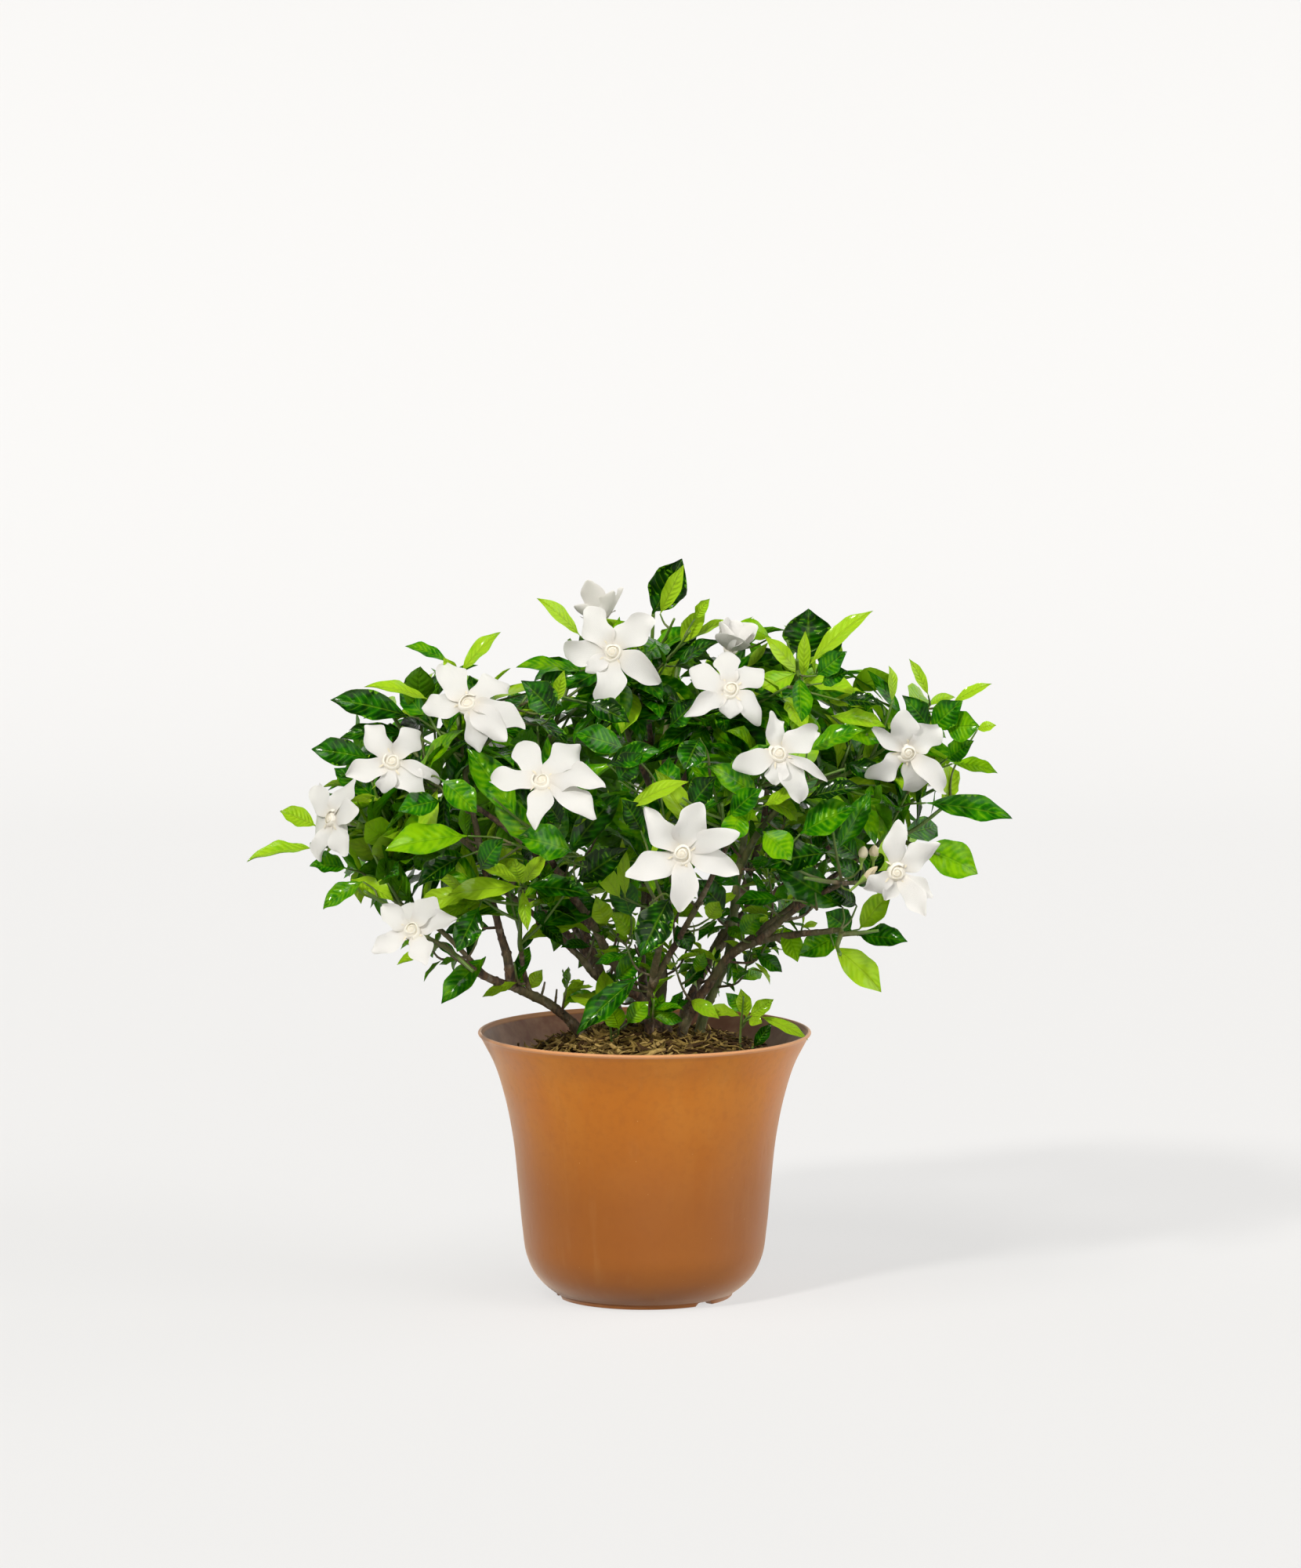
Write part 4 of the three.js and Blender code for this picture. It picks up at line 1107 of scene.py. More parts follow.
STEMS: dict[str, tuple[Limb, ...]] = {
    "low_left": (
        Limb((3.9, 1.9), ((-34, -8, ROOTING), (-42, -11, 177), (-58, -15, 195), (-75, -22, 206),
            (-89, -30, 213), (-106, -45, 222), (-122, -65, 236), (-132, -85, 248))),
        Limb((2.9, 1.7), ((-89, -30, 213), (-90, -37, 228), (-96, -45, 253), (-103, -56, 283),
            (-109, -72, 316), (-117, -88, 358))),
        Limb((2.0, 1.5), ((-106, -45, 222), (-126, -50, 245), (-146, -62, 265))),
        Limb((1.8, 1.5), ((-76, -22, 206), (-80, -28, 222), (-82, -45, 240))),
    ),
    "centre_left": (
        Limb((4.0, 1.9), ((17, -3, ROOTING), (14, -3, 182), (-6, -8, 205), (-24, -20, 233), (-34, -32, 254),
            (-50, -52, 280), (-62, -80, 305))),
        Limb((2.6, 1.6), ((-6, -8, 205), (-28, -12, 214), (-44, -18, 232), (-62, -25, 250), (-90, -33, 275),
            (-118, -38, 292))),
        Limb((2.4, 1.6), ((-34, -32, 254), (-60, -47, 290), (-90, -62, 322), (-122, -76, 346))),
    ),
    "centre": (
        Limb((4.2, 1.9), ((5, 7, ROOTING), (8, 8, 185), (12, 6, 215), (9, 4, 240), (14, 0, 270),
            (10, -8, 312), (2, -22, 350), (-8, -36, 374))),
        Limb((2.6, 1.6), ((14, 0, 270), (10, 10, 320), (5, 8, 365), (2, -2, 398))),
        Limb((2.4, 1.6), ((10, -8, 312), (24, -16, 345), (38, -30, 374))),
    ),
    "front": (
        Limb((3.4, 1.8), ((4, -17, ROOTING), (3, -18, 182), (5, -38, 215), (10, -64, 245), (14, -96, 268))),
        Limb((2.2, 1.6), ((5, -38, 215), (24, -64, 252), (42, -95, 290), (54, -116, 318))),
    ),
    "right": (
        Limb((3.8, 1.9), ((24, -14, ROOTING), (26, -14, 182), (34, -17, 199), (46, -24, 218), (58, -32, 235),
            (76, -42, 245), (90, -50, 249), (125, -78, 257))),
        Limb((2.3, 1.6), ((76, -42, 245), (94, -60, 264), (112, -84, 280), (126, -98, 289))),
        Limb((2.3, 1.6), ((58, -32, 235), (90, -26, 260), (124, -26, 285), (150, -28, 304))),
    ),
    "right_upright": (
        Limb((3.6, 1.8), ((34, 3, ROOTING), (38, 4, 183), (48, 6, 209), (56, 4, 229), (59, 0, 250),
            (63, -5, 285), (80, -17, 320), (104, -34, 344))),
        Limb((2.3, 1.6), ((63, -5, 285), (70, -4, 330), (82, -20, 372), (92, -30, 394))),
    ),
    "back_left": (
        Limb((3.8, 1.8), ((-14, 10, ROOTING), (-16, 12, 182), (-32, 30, 220), (-50, 46, 265), (-62, 60, 310),
            (-70, 68, 344))),
        Limb((2.5, 1.6), ((-32, 30, 220), (-70, 45, 255), (-105, 58, 285), (-128, 62, 304))),
        Limb((2.3, 1.6), ((-32, 30, 220), (-52, 72, 244), (-75, 105, 261))),
    ),
    "back": (
        Limb((3.6, 1.8), ((1, 24, ROOTING), (0, 26, 182), (-2, 52, 225), (0, 86, 262), (0, 114, 289))),
        Limb((2.4, 1.6), ((-2, 52, 225), (6, 60, 280), (12, 70, 330), (14, 75, 368))),
    ),
    "back_right": (
        Limb((3.7, 1.8), ((25, 20, ROOTING), (26, 22, 182), (46, 42, 225), (66, 52, 265), (80, 60, 310),
            (84, 70, 344))),
        Limb((2.4, 1.6), ((46, 42, 225), (80, 50, 258), (112, 58, 285), (130, 60, 299))),
        Limb((2.3, 1.6), ((46, 42, 225), (64, 76, 245), (82, 108, 261))),
    ),
}  # fmt: skip


WOOD_AGE = {"right_upright": 0.5}  # a stem whose bark is still pale and greenish


@dataclass
class Wood:
    """One woody stem with the forks that grew from it."""

    name: str
    limbs: tuple[Limb, ...]
    seed: int
    age: float = 1.0
    sides: int = 14

    def limb_patch(self, limb: Limb, seed: int, fork: bool) -> Patch:
        """A limb: a bar that narrows evenly, thicker where it leaves its parent, knotted all along."""
        path = smooth_path(limb.path, 1.6)
        share = np.linspace(0, 1, len(path))
        radii = limb.radii[0] + (limb.radii[1] - limb.radii[0]) * share
        radii = radii * (1 + 0.5 * np.exp(-share * 14)) if fork else radii
        return tube(path, radii, self.sides, 0, 0.16, seed).tag(age=self.age)

    def stubs(self, rng: Random) -> list[Patch]:
        """Short broken side twigs on the old wood."""
        made = []
        for limb in self.limbs[:2]:
            path = smooth_path(limb.path, 4)
            for place in rng.uniform(0.3, 0.85, 3):
                k = int(place * (len(path) - 1))
                way = across_of(rng.normal(0, 1, 3), unit(path[k + 1] - path[k])) + 0.5 * UP
                reach = rng.uniform(4, 13)
                bit = smooth_path([path[k], path[k] + way * reach * 0.6, path[k] + way * reach + UP * 2], 1.5)
                made.append(tube(bit, np.linspace(1.1, 0.6, len(bit)), 8, 0, 0.2, k).tag(age=1.0))
        return made

    def build(self, bark: Material) -> Thing:
        """Makes the stem."""
        patches = [self.limb_patch(limb, self.seed + k, k > 0) for k, limb in enumerate(self.limbs)]
        patches += self.stubs(np.random.default_rng(self.seed))
        return settle(piece(f"wood_{self.name}", patches, [bark]), "bark", f"stem_{self.name}")


# --- flowers


@dataclass(frozen=True)
class Bloom:
    """An open flower: the middle of its face, the way it faces, its width and how far it opened.

    Each of its petals is an angle in degrees from the flower's right, a length in millimetres and a share of
    the usual width. With none given, six even petals start at the angle turn.
    """

    at: Point
    facing: Point
    width: float
    turn: float
    petals: tuple[tuple[float, float, float], ...] = ()
    open: float = 1.0
    faded: float = 0.0

    @property
    def axis(self) -> Array:
        """The unit vector out of the flower's face."""
        return unit(np.array(self.facing, float))

    @property
    def middle(self) -> Array:
        """The middle of the flower's face."""
        return np.array(self.at, float)

    def heel(self, depth: float) -> Array:
        """The point that is depth behind the flower's face."""
        return self.middle - self.axis * depth

    def petal_table(self) -> Array:
        """The petals' angles in radians, lengths and width shares, (petals, 3)."""
        even = [(self.turn + 60 * k, self.width / 2 + 1, 1.0) for k in range(6)]
        return np.array(self.petals or even) * [math.pi / 180, 1, 1]


BLOOMS: dict[str, Bloom] = {
    "crown_front": Bloom((-21, -97, 443), (-0.05, -0.95, 0.25), 70, 98, (
        (125, 33, 1), (48, 32, 1), (182, 34, 1), (335, 36, 1), (270, 37, 1), (222, 20, 0.6))),
    "crown_back": Bloom((-30, -4, 455), (-0.3, 0.5, 0.8), 46, 20, (
        (65, 29, 1.1), (165, 30, 1.1), (115, 21, 0.9), (215, 24, 1), (270, 22, 1), (10, 19, 0.8)), 0.65, 0.3),
    "half_open": Bloom((57, -46, 441), (0.2, -0.35, 0.9), 44, 10, (
        (0, 22, 1.4), (62, 19, 1.4), (120, 20, 1.4), (180, 22, 1.5), (240, 21, 1.5), (305, 20, 1.4)), 0.45),
    "left_top": Bloom((-115, -118, 411), (-0.1, -0.8, 0.6), 70, 70, (
        (128, 33, 1), (47, 30, 1), (186, 29, 1), (292, 31, 0.8), (346, 40, 0.9), (318, 40, 0.9))),
    "left": Bloom((-164, -116, 373), (-0.1, -0.92, 0.35), 60, 84, (
        (131, 29, 1), (55, 28, 1), (205, 30, 1), (313, 31, 1), (350, 33, 0.5), (262, 20, 0.7))),
    "far_left": Bloom((-206, -72, 330), (-0.75, -0.6, 0.25), 54, 20),
    "low_left": Bloom((-152, -120, 263), (-0.1, -0.85, 0.5), 54, 30, (
        (150, 24, 0.9), (100, 22, 0.9), (60, 25, 0.9), (20, 28, 0.9), (300, 25, 1), (212, 27, 0.9))),
    "centre_left": Bloom((-66, -166, 366), (-0.15, -0.8, 0.55), 72, 15, (
        (126, 36, 1), (55, 32, 1), (186, 35, 1), (276, 33, 1), (5, 42, 1), (336, 43, 1))),
    "upper_right": Bloom((56, -122, 421), (0.1, -0.9, 0.4), 56, 92, (
        (95, 28, 1), (36, 27, 1), (323, 29, 1), (160, 28, 1), (215, 34, 0.8), (272, 18, 0.8))),
    "right_centre": Bloom((87, -150, 382), (0.1, -0.9, 0.3), 60, 40, (
        (102, 30, 1), (34, 30, 1), (200, 29, 1), (302, 33, 1), (340, 34, 0.5), (265, 19, 0.8))),
    "front": Bloom((24, -184, 321), (0.05, -0.98, 0.15), 70, 80, (
        (78, 32, 1), (137, 35, 1), (206, 36, 1), (277, 36, 1), (351, 37, 1), (29, 37, 0.75))),
    "right": Bloom((172, -98, 377), (0.25, -0.9, -0.05), 60, 60, (
        (104, 26, 1), (42, 25, 1), (150, 27, 0.7), (214, 32, 0.9), (296, 29, 1.1), (322, 38, 1))),
    "low_right": Bloom((164, -132, 302), (0.15, -0.95, 0.1), 56, 95, (
        (95, 32, 0.9), (38, 32, 0.9), (212, 22, 0.9), (307, 31, 0.9), (328, 27, 0.7), (255, 17, 0.7))),
    "back_left": Bloom((-90, 130, 362), (-0.3, 0.85, 0.35), 62, 20),
    "back": Bloom((12, 186, 348), (0.05, 0.95, 0.3), 66, 75),
    "back_right": Bloom((172, 106, 352), (0.6, 0.7, 0.35), 58, 50),
}  # fmt: skip
THROAT = 20.0


def passes_before(bloom: Bloom, points: Array) -> Array:
    """Whether each point is in front of a flower that faces the viewer."""
    apart = size_of(VIEW.shown(points) - VIEW.shown(bloom.middle))
    return (apart < bloom.width + 4) & (points[..., 1] < bloom.at[1]) & (bloom.facing[1] < 0)


def hides_bloom(points: Array) -> bool:
    """Whether any of the points is in front of a flower that faces the viewer."""
    return any(passes_before(bloom, points).any() for bloom in BLOOMS.values())


def around_axis(axis: Array, angle: Array) -> Array:
    """Unit vectors at right angles to an axis, at angles from its right-hand side, (n, 3)."""
    right = unit(np.cross(UP, axis))
    return oval(angle, right, np.cross(axis, right))


@dataclass
class Flower:
    """The white of one flower: spread petals, the rolled heart, its anthers and the narrow throat behind."""

    name: str
    bloom: Bloom
    seed: int
    petal_width: float = 18.8
    usual_width: float = 70.0
    start: float = 3.0
    heart_radius: float = 8.3
    heartless: float = 0.7
    rings: int = 19
    around: int = 22
    thickness: float = 0.7
    waves: float = 1.3

    def growth(self) -> float:
        """How large the flower's parts are beside those of the usual flower."""
        return (self.bloom.width / self.usual_width) ** 0.5

    def level(self, along: Array) -> Array:
        """The faces of blades that grow along and look out of the flower."""
        return across_of(np.broadcast_to(self.bloom.axis, along.shape), along)

    def spread_petals(self, rng: Random) -> Blades:
        """The outer petals: level or a little raised, their sides and tips rolled to and fro."""
        table, open_ = self.bloom.petal_table(), self.bloom.open
        n, closed = len(table), 1 - open_
        spokes = around_axis(self.bloom.axis, table[:, 0])
        raised = (1.5 * closed + rng.uniform(0.05, 0.4, n))[:, None]
        along = unit(spokes * np.cos(raised) + self.bloom.axis * np.sin(raised))
        return Blades(
            base=self.bloom.middle + spokes * self.start - self.bloom.axis * rng.uniform(0.2, 1.6, (n, 1)),
            along=along,
            face=self.level(along),
            length=(table[:, 1] - self.start + 2) * rng.uniform(1.0, 1.06, n),
            width=self.petal_width * self.growth() * table[:, 2] * rng.uniform(0.95, 1.12, n),
            droop=rng.uniform(0.15, 0.75, n) * (1 - 2.6 * closed),
            curl=rng.uniform(-0.5, 1.1, n) * (1 - closed),
            fold=rng.uniform(-0.1, 0.5, n) + 0.7 * (1 - table[:, 2]) + closed,
            wave=rng.uniform(0.1, 0.3, n) * open_,
            twist=rng.normal(0, 0.34, n) * open_,
            age=self.bloom.faded,
            shade=rng.uniform(0, 1, n),
            roll=rng.uniform(-1.7, 2.2, n) * open_**1.5,
            sweep=-rng.uniform(0.04, 0.2, n) * open_,
        )

    def heart(self) -> Patch:
        """The heart: one petal rolled up, a thin wall along a spiral that winds in, its top leaning in."""
        steps = 72
        t, angle = np.linspace(0, 1, steps)[:, None], turns(12)
        radius = self.heart_radius * self.growth() * (1 - 0.86 * t**0.7)
        climb = 0.5 - 0.5 * np.cos(angle)
        ring = radius - (0.24 * radius + 0.3) * climb**2 - 0.4 * np.sin(angle)
        ring = ring * (1 + 0.06 * np.sin(3 * TURN * 2.2 * t))
        height = -1.6 + (3.6 + 0.9 * t) * climb
        spokes = around_axis(self.bloom.axis, self.bloom.turn + TURN * 2.4 * t[:, 0])
        rings = self.bloom.middle + ring[..., None] * spokes[:, None] + height[..., None] * self.bloom.axis
        made = loft(rings[None], rings[:1].mean(axis=1), rings[-1:].mean(axis=1), 1)
        # the lower edge of each turn gets more cream: the petal's own tone, and painted shade in the folds
        made.tags["along"] = np.concatenate([[0.2], np.tile(0.05 + 0.5 * climb, steps), [0.4]])
        return made

    def core(self) -> Patch:
        """The low cone of furled petal that fills the heart between its turns."""
        steps, size = np.linspace(0, 1, 8), self.heart_radius * self.growth()
        path = self.bloom.middle + (4.6 * steps[:, None] - 2) * self.bloom.axis
        return tube(path, size * (0.86 - 0.72 * steps**1.4), 24, 1).tag(along=0.3, age=steps**2)

    def anthers(self, rng: Random) -> Patch:
        """The anthers: slim tan strips that lie between the petals' feet."""
        n = 4
        spokes = around_axis(self.bloom.axis, math.radians(self.bloom.turn + 28) + turns(n))
        along = unit(spokes + 0.12 * self.bloom.axis + rng.normal(0, 0.12, (n, 3)))
        base = self.bloom.middle + spokes * 5.6 + 0.4 * self.bloom.axis
        length, shade, bends = rng.uniform(3, 5.5, n), rng.uniform(0, 1, n), [0.2] * 7
        strips = Blades(base, along, self.level(along), length, 1.3, 1.0, shade, *bends)
        return blade_patch(strips, leaf_outline, 5, 6, 0.7, 1).tag(along=0.14)

    def throat(self) -> Patch:
        """The throat: a slim bar that opens into the seat of the petals."""
        steps = np.linspace(0, 1, 12)
        path = self.bloom.heel(THROAT) + steps[:, None] * self.bloom.axis * (THROAT - 1.2)
        return tube(path, 1.7 + 3.4 * steps**3, 18).tag(along=0.3, age=0.8)

    def build(self, petal: Material, heart: Material) -> Thing:
        """Makes the flower; one that has hardly opened shows no heart."""
        rng = np.random.default_rng(self.seed)
        fineness = self.rings, self.around, self.thickness
        petals = blade_patch(self.spread_petals(rng), petal_outline, *fineness, waves=self.waves)
        patches = [petals, self.throat()]
        if self.bloom.open >= self.heartless:
            patches += [self.heart(), self.core(), self.anthers(rng)]
        return settle(piece(f"bloom_{self.name}", patches, [petal, heart]), "petal", f"flower_{self.name}")


@dataclass(frozen=True)
class Bud:
    """A closed bud: petals wound into a spindle, in a small green cup on a short stalk."""

    at: Point
    to: Point
    radius: float
    ridges: float
    neck: float = 0.45

    def build(self, name: str, petal: Material, green: Material) -> Thing:
        """Makes the bud: past its neck the radius follows a drop shape, with ridges that wind round it."""
        foot, end = np.array(self.at, float), np.array(self.to, float)
        start = foot + self.neck * (end - foot)
        axis = unit(end - foot)
        side = across_of(np.array([1.0, 0.2, 0.1]), axis)
        share, angle = np.linspace(0.02, 0.98, 22)[:, None], turns(30)
        ridge = 1 - self.ridges * np.abs(np.sin(2.5 * angle + 4 * share))
        radius = self.radius * np.sin(math.pi * share**0.9) ** 0.7 * ridge
        rings = (start + share * (end - start))[:, None] + oval(angle, side, np.cross(axis, side), radius)
        body = loft(rings[None], start[None], end[None]).tag(age=2.5 * self.ridges, along=0.4)
        steps = np.linspace(0, 1, 14)
        path = foot + steps[:, None] * (start + 0.25 * (end - start) - foot)
        cup = tube(path, 0.9 + (0.8 * self.radius - 0.9) * smoothstep(0.5, 1.0, steps), 12, 1).tag(age=0.6)
        return settle(piece(f"closed_{name}", [body, cup], [petal, green]), "bud", name)


BUDS: dict[str, Bud] = {
    "bud_round": Bud((141, -122, 303), (143, -128, 319), 3.3, 0.06),
    "bud_upper": Bud((149, -117, 302), (150, -120, 319), 3.5, 0.22),
    "bud_lower": Bud((134, -116, 288), (152, -122, 305), 3.0, 0.3),
}


# --- foliage

CANOPY_MIDDLE = np.array([0.0, 0.0, 345.0])
CANOPY_DEPTH = 205.0
CANOPY_POWER = 2.3  # 2 for an ellipsoid, more for a fuller shape
VIEW_SLOPE = 0.145  # how far a point rises in the view for each millimetre that it lies further back

# How far the leaves reach from the middle of the canopy, in the view, at each angle from the right.
REACH_ANGLES = (
    0, 10, 20, 25, 30, 40, 50, 60, 70, 80, 90, 100, 110, 120, 130, 140, 150, 160, 170, 180, 190, 200, 210,
    220, 235, 250, 270, 290, 310, 320, 330, 340, 350, 360,
)  # fmt: skip
REACH = (
    208, 224, 212, 184, 166, 172, 150, 126, 130, 128, 124, 112, 116, 99, 103, 124, 162, 190, 208, 216, 224,
    216, 195, 160, 114, 104, 100, 87, 112, 160, 182, 184, 196, 208,
)  # fmt: skip


def canopy_share(points: Array) -> Array:
    """How far out each point is in the canopy: 1 on its outside, as seen from the front."""
    off = points - CANOPY_MIDDLE
    rise = off[..., 2] + VIEW_SLOPE * points[..., 1]
    angle = np.degrees(np.arctan2(rise, off[..., 0])) % 360
    flat = np.hypot(rise, off[..., 0]) / np.interp(angle, REACH_ANGLES, REACH)
    deep = np.abs(off[..., 1] / CANOPY_DEPTH)
    return (flat**CANOPY_POWER + deep**CANOPY_POWER) ** (1 / CANOPY_POWER)


class Tone(Enum):
    """A leaf's colour: how old it looks, from 1 for the darkest to 0 for the youngest."""

    DEEP = 0.98
    GREEN = 0.72
    FRESH = 0.46
    LIGHT = 0.26
    YELLOW = 0.02


@dataclass(frozen=True)
class LeafMark:
    """A leaf that shows plainly from the front.

    It has the pixels where its foot and its tip show, its width in millimetres and its tone. The tilt is how
    many degrees its face looks up from the viewer, and toward is how many millimetres its tip is nearer than
    its foot. The depth is the foot's y, which otherwise lies on the canopy's front.
    """

    foot: tuple[float, float]
    tip: tuple[float, float]
    width: float
    tone: Tone
    tilt: float = 30.0
    toward: float = 12.0
    depth: float | None = None

    def ends(self) -> tuple[Array, Array]:
        """The leaf's foot and tip in space."""
        depth = self.depth
        if depth is None:
            out = min(float(canopy_share(VIEW.place(self.foot, 0.0))), 0.97)
            depth = -0.76 * CANOPY_DEPTH * (1 - out**CANOPY_POWER) ** (1 / CANOPY_POWER)
        shown = np.array([self.foot, self.tip])
        for bloom in BLOOMS.values():
            apart = size_of(VIEW.shown(bloom.middle) - shown).min()
            if bloom.facing[1] < 0 and apart < 0.8 * bloom.width:
                depth = max(depth, bloom.at[1] + 14 + self.toward)
        return VIEW.place(self.foot, depth), VIEW.place(self.tip, depth - self.toward)


# The marked leaves by tone. A row holds the pixels of a leaf's foot and tip and its width, then its tilt,
# toward and depth where they aren't the usual ones.
LEAF_ROWS: dict[Tone, tuple[tuple[float, ...], ...]] = {
    Tone.DEEP: (
        (832, 784, 873, 716, 28, 10, 4, -20), (861, 850, 917, 817, 15, 50),
        (1029, 843, 1034, 778, 37, 12, 4, -40), (1044, 850, 1070, 796, 17, 20, 4, -30),
        (523, 914, 423, 891, 22, 30, 0, -70), (520, 936, 434, 940, 17, 50, 0, -60),
        (474, 968, 398, 956, 20, 25, 0, -60), (612, 1156, 584, 1213, 19, 20),
        (856, 1143, 815, 1217, 26, 15, 14, -178), (798, 955, 735, 938, 20), (774, 975, 841, 955, 18),
        (735, 1126, 801, 1087, 24), (682, 882, 735, 862, 20), (748, 895, 801, 922, 18),
        (893, 941, 874, 981, 20), (589, 1093, 530, 1126, 18), (563, 1021, 510, 1034, 18),
        (1078, 974, 1131, 994, 16), (1027, 1019, 1098, 1007, 18, 50), (1070, 893, 1122, 900, 14, 50),
        (1152, 914, 1107, 857, 9, 40, 4, -40), (1087, 1188, 1054, 1166, 20, 15),
        (1076, 1158, 988, 1110, 25, 25), (998, 1147, 940, 1152, 15, 55), (1056, 1088, 976, 1102, 25, 30),
        (864, 1180, 880, 1213, 14, 20, 4, -60), (961, 1336, 984, 1306, 9, 10, 4, -24),
        (788, 996, 818, 962, 20), (880, 1030, 912, 992, 20), (930, 1042, 968, 1004, 18),
        (926, 1162, 890, 1122, 20, 20, 4, -60), (944, 1130, 902, 1096, 18, 20, 4, -60),
        (806, 1170, 786, 1120, 20, 20, 4, -60), (760, 1132, 800, 1112, 16, 20, 4, -60),
        (1096, 1096, 1052, 1058, 18, 25), (1104, 1124, 1062, 1100, 16), (1094, 1156, 1052, 1130, 17),
        (818, 1060, 796, 1020, 18), (716, 1052, 690, 1010, 18), (612, 1110, 640, 1070, 18),
    ),
    Tone.GREEN: (
        (741, 856, 661, 850, 17, 65), (1042, 862, 1079, 832, 16, 20), (1048, 872, 1082, 858, 15, 30),
        (574, 845, 518, 823, 13, 60, 0, -70), (620, 1220, 564, 1279, 18, 40), (708, 912, 670, 866, 24, 20),
        (670, 1130, 752, 1144, 20, 50, 6, -90), (731, 1087, 662, 1067, 26), (854, 928, 893, 895, 18),
        (563, 994, 609, 1034, 20), (973, 1060, 1012, 1093, 22), (946, 1034, 933, 1074, 18),
        (1020, 1064, 1090, 1028, 26, 35), (1186, 930, 1155, 886, 17, 20), (1188, 930, 1227, 895, 20, 20),
        (1206, 930, 1248, 924, 22, 15), (1180, 1024, 1291, 1043, 20, 35, 0, -60),
        (1094, 1193, 1156, 1202, 18, 35), (1074, 1192, 1021, 1219, 19, 25),
        (816, 1245, 732, 1312, 20, 20, 10, -52), (800, 1306, 824, 1276, 14, 15, 4, -50),
        (785, 1250, 818, 1221, 16, 30, 4, -40), (964, 1216, 997, 1240, 12, 30, 4, -40),
        (952, 1292, 926, 1268, 10, 20, 4, -22),
    ),
    Tone.FRESH: (
        (984, 814, 938, 798, 15, 40, 4, -30), (443, 1108, 396, 1101, 19, 40, 0),
        (464, 1124, 411, 1157, 16, 40, 0), (598, 1066, 494, 1084, 26, 48),
        (967, 1016, 906, 974, 21, 25, 14, -140), (968, 1034, 926, 1050, 15, 50, 10, -140),
        (1072, 928, 1131, 948, 16), (1029, 958, 1102, 932, 18, 45), (1208, 968, 1242, 948, 17, 25),
        (1214, 974, 1273, 982, 15, 50, 0), (1174, 1080, 1248, 1112, 27, 25, 0, -60),
        (1000, 1183, 1021, 1224, 15, 20), (790, 1313, 778, 1283, 15, 10, 4, -50),
        (650, 1236, 669, 1264, 10, 20, 4, -22), (888, 1241, 899, 1215, 10, 10, 4, -40),
        (945, 1192, 969, 1167, 15, 15, 4, -60),
    ),
    Tone.LIGHT: (
        (741, 812, 687, 765, 13, 50), (868, 822, 897, 777, 14, 30, 4, -12),
        (886, 790, 906, 765, 9, 30, 4, -20), (1022, 862, 976, 815, 12, 40, 6, -60),
        (1033, 848, 1108, 775, 15, 45, 4, -50), (588, 858, 637, 806, 13, 50, 0, -70),
        (404, 1054, 358, 1034, 15, 35, 0, -50), (402, 1082, 315, 1094, 17, 62, 0, -50),
        (447, 1121, 502, 1146, 16, 45), (709, 898, 718, 856, 9, 20), (665, 1131, 573, 1144, 18, 50, 6, -108),
        (664, 1127, 657, 1096, 13, 10, 6, -92), (667, 1134, 671, 1187, 9, 20, 8, -94),
        (800, 1032, 874, 990, 14, 40), (798, 1146, 791, 1072, 9, 20), (774, 1180, 760, 1147, 15, 20),
        (808, 1192, 781, 1162, 18, 20), (974, 1028, 1019, 1010, 14, 50, 10, -140),
        (1059, 913, 1128, 928, 15, 45), (1185, 888, 1161, 841, 8, 40, 4, -30),
        (1214, 898, 1263, 869, 9, 40, 4, -20), (1246, 931, 1270, 923, 8, 30, 4, -20),
        (1096, 1186, 1137, 1137, 17, 25), (1063, 1206, 1126, 1262, 21, 25, 6, -60),
        (674, 1262, 691, 1237, 10, 10, 4, -22), (904, 1173, 917, 1150, 13, 15, 4, -80),
        (953, 1298, 946, 1262, 11, 10, 4, -22), (956, 1296, 987, 1276, 11, 20, 4, -26),
        (969, 1296, 1031, 1325, 9, 40, 4, -24),
    ),
    Tone.YELLOW: (
        (842, 784, 872, 722, 12, 10, 10, -30), (874, 820, 932, 789, 11, 60, 4, -10),
        (1025, 868, 1025, 806, 9, 5, 6, -66), (582, 868, 566, 840, 10, 20), (548, 893, 467, 871, 13, 50),
        (664, 1127, 608, 1102, 13, 50, 6, -108), (668, 1127, 694, 1089, 11, 20, 6, -108),
        (792, 1146, 758, 1100, 13, 20), (955, 1300, 972, 1304, 10, 30, 6, -26),
    ),
}  # fmt: skip
LEAF_MARKS = [
    LeafMark(row[:2], row[2:4], row[4], tone, *row[5:]) for tone, rows in LEAF_ROWS.items() for row in rows
]


@dataclass(frozen=True)
class Branch:
    """A leafy branch: where it leaves the wood, the points or flowers at its tips, its age and leaf size."""

    root: Point
    tips: tuple[Point | str, ...]
    age: float = 0.75
    size: float = 1.0


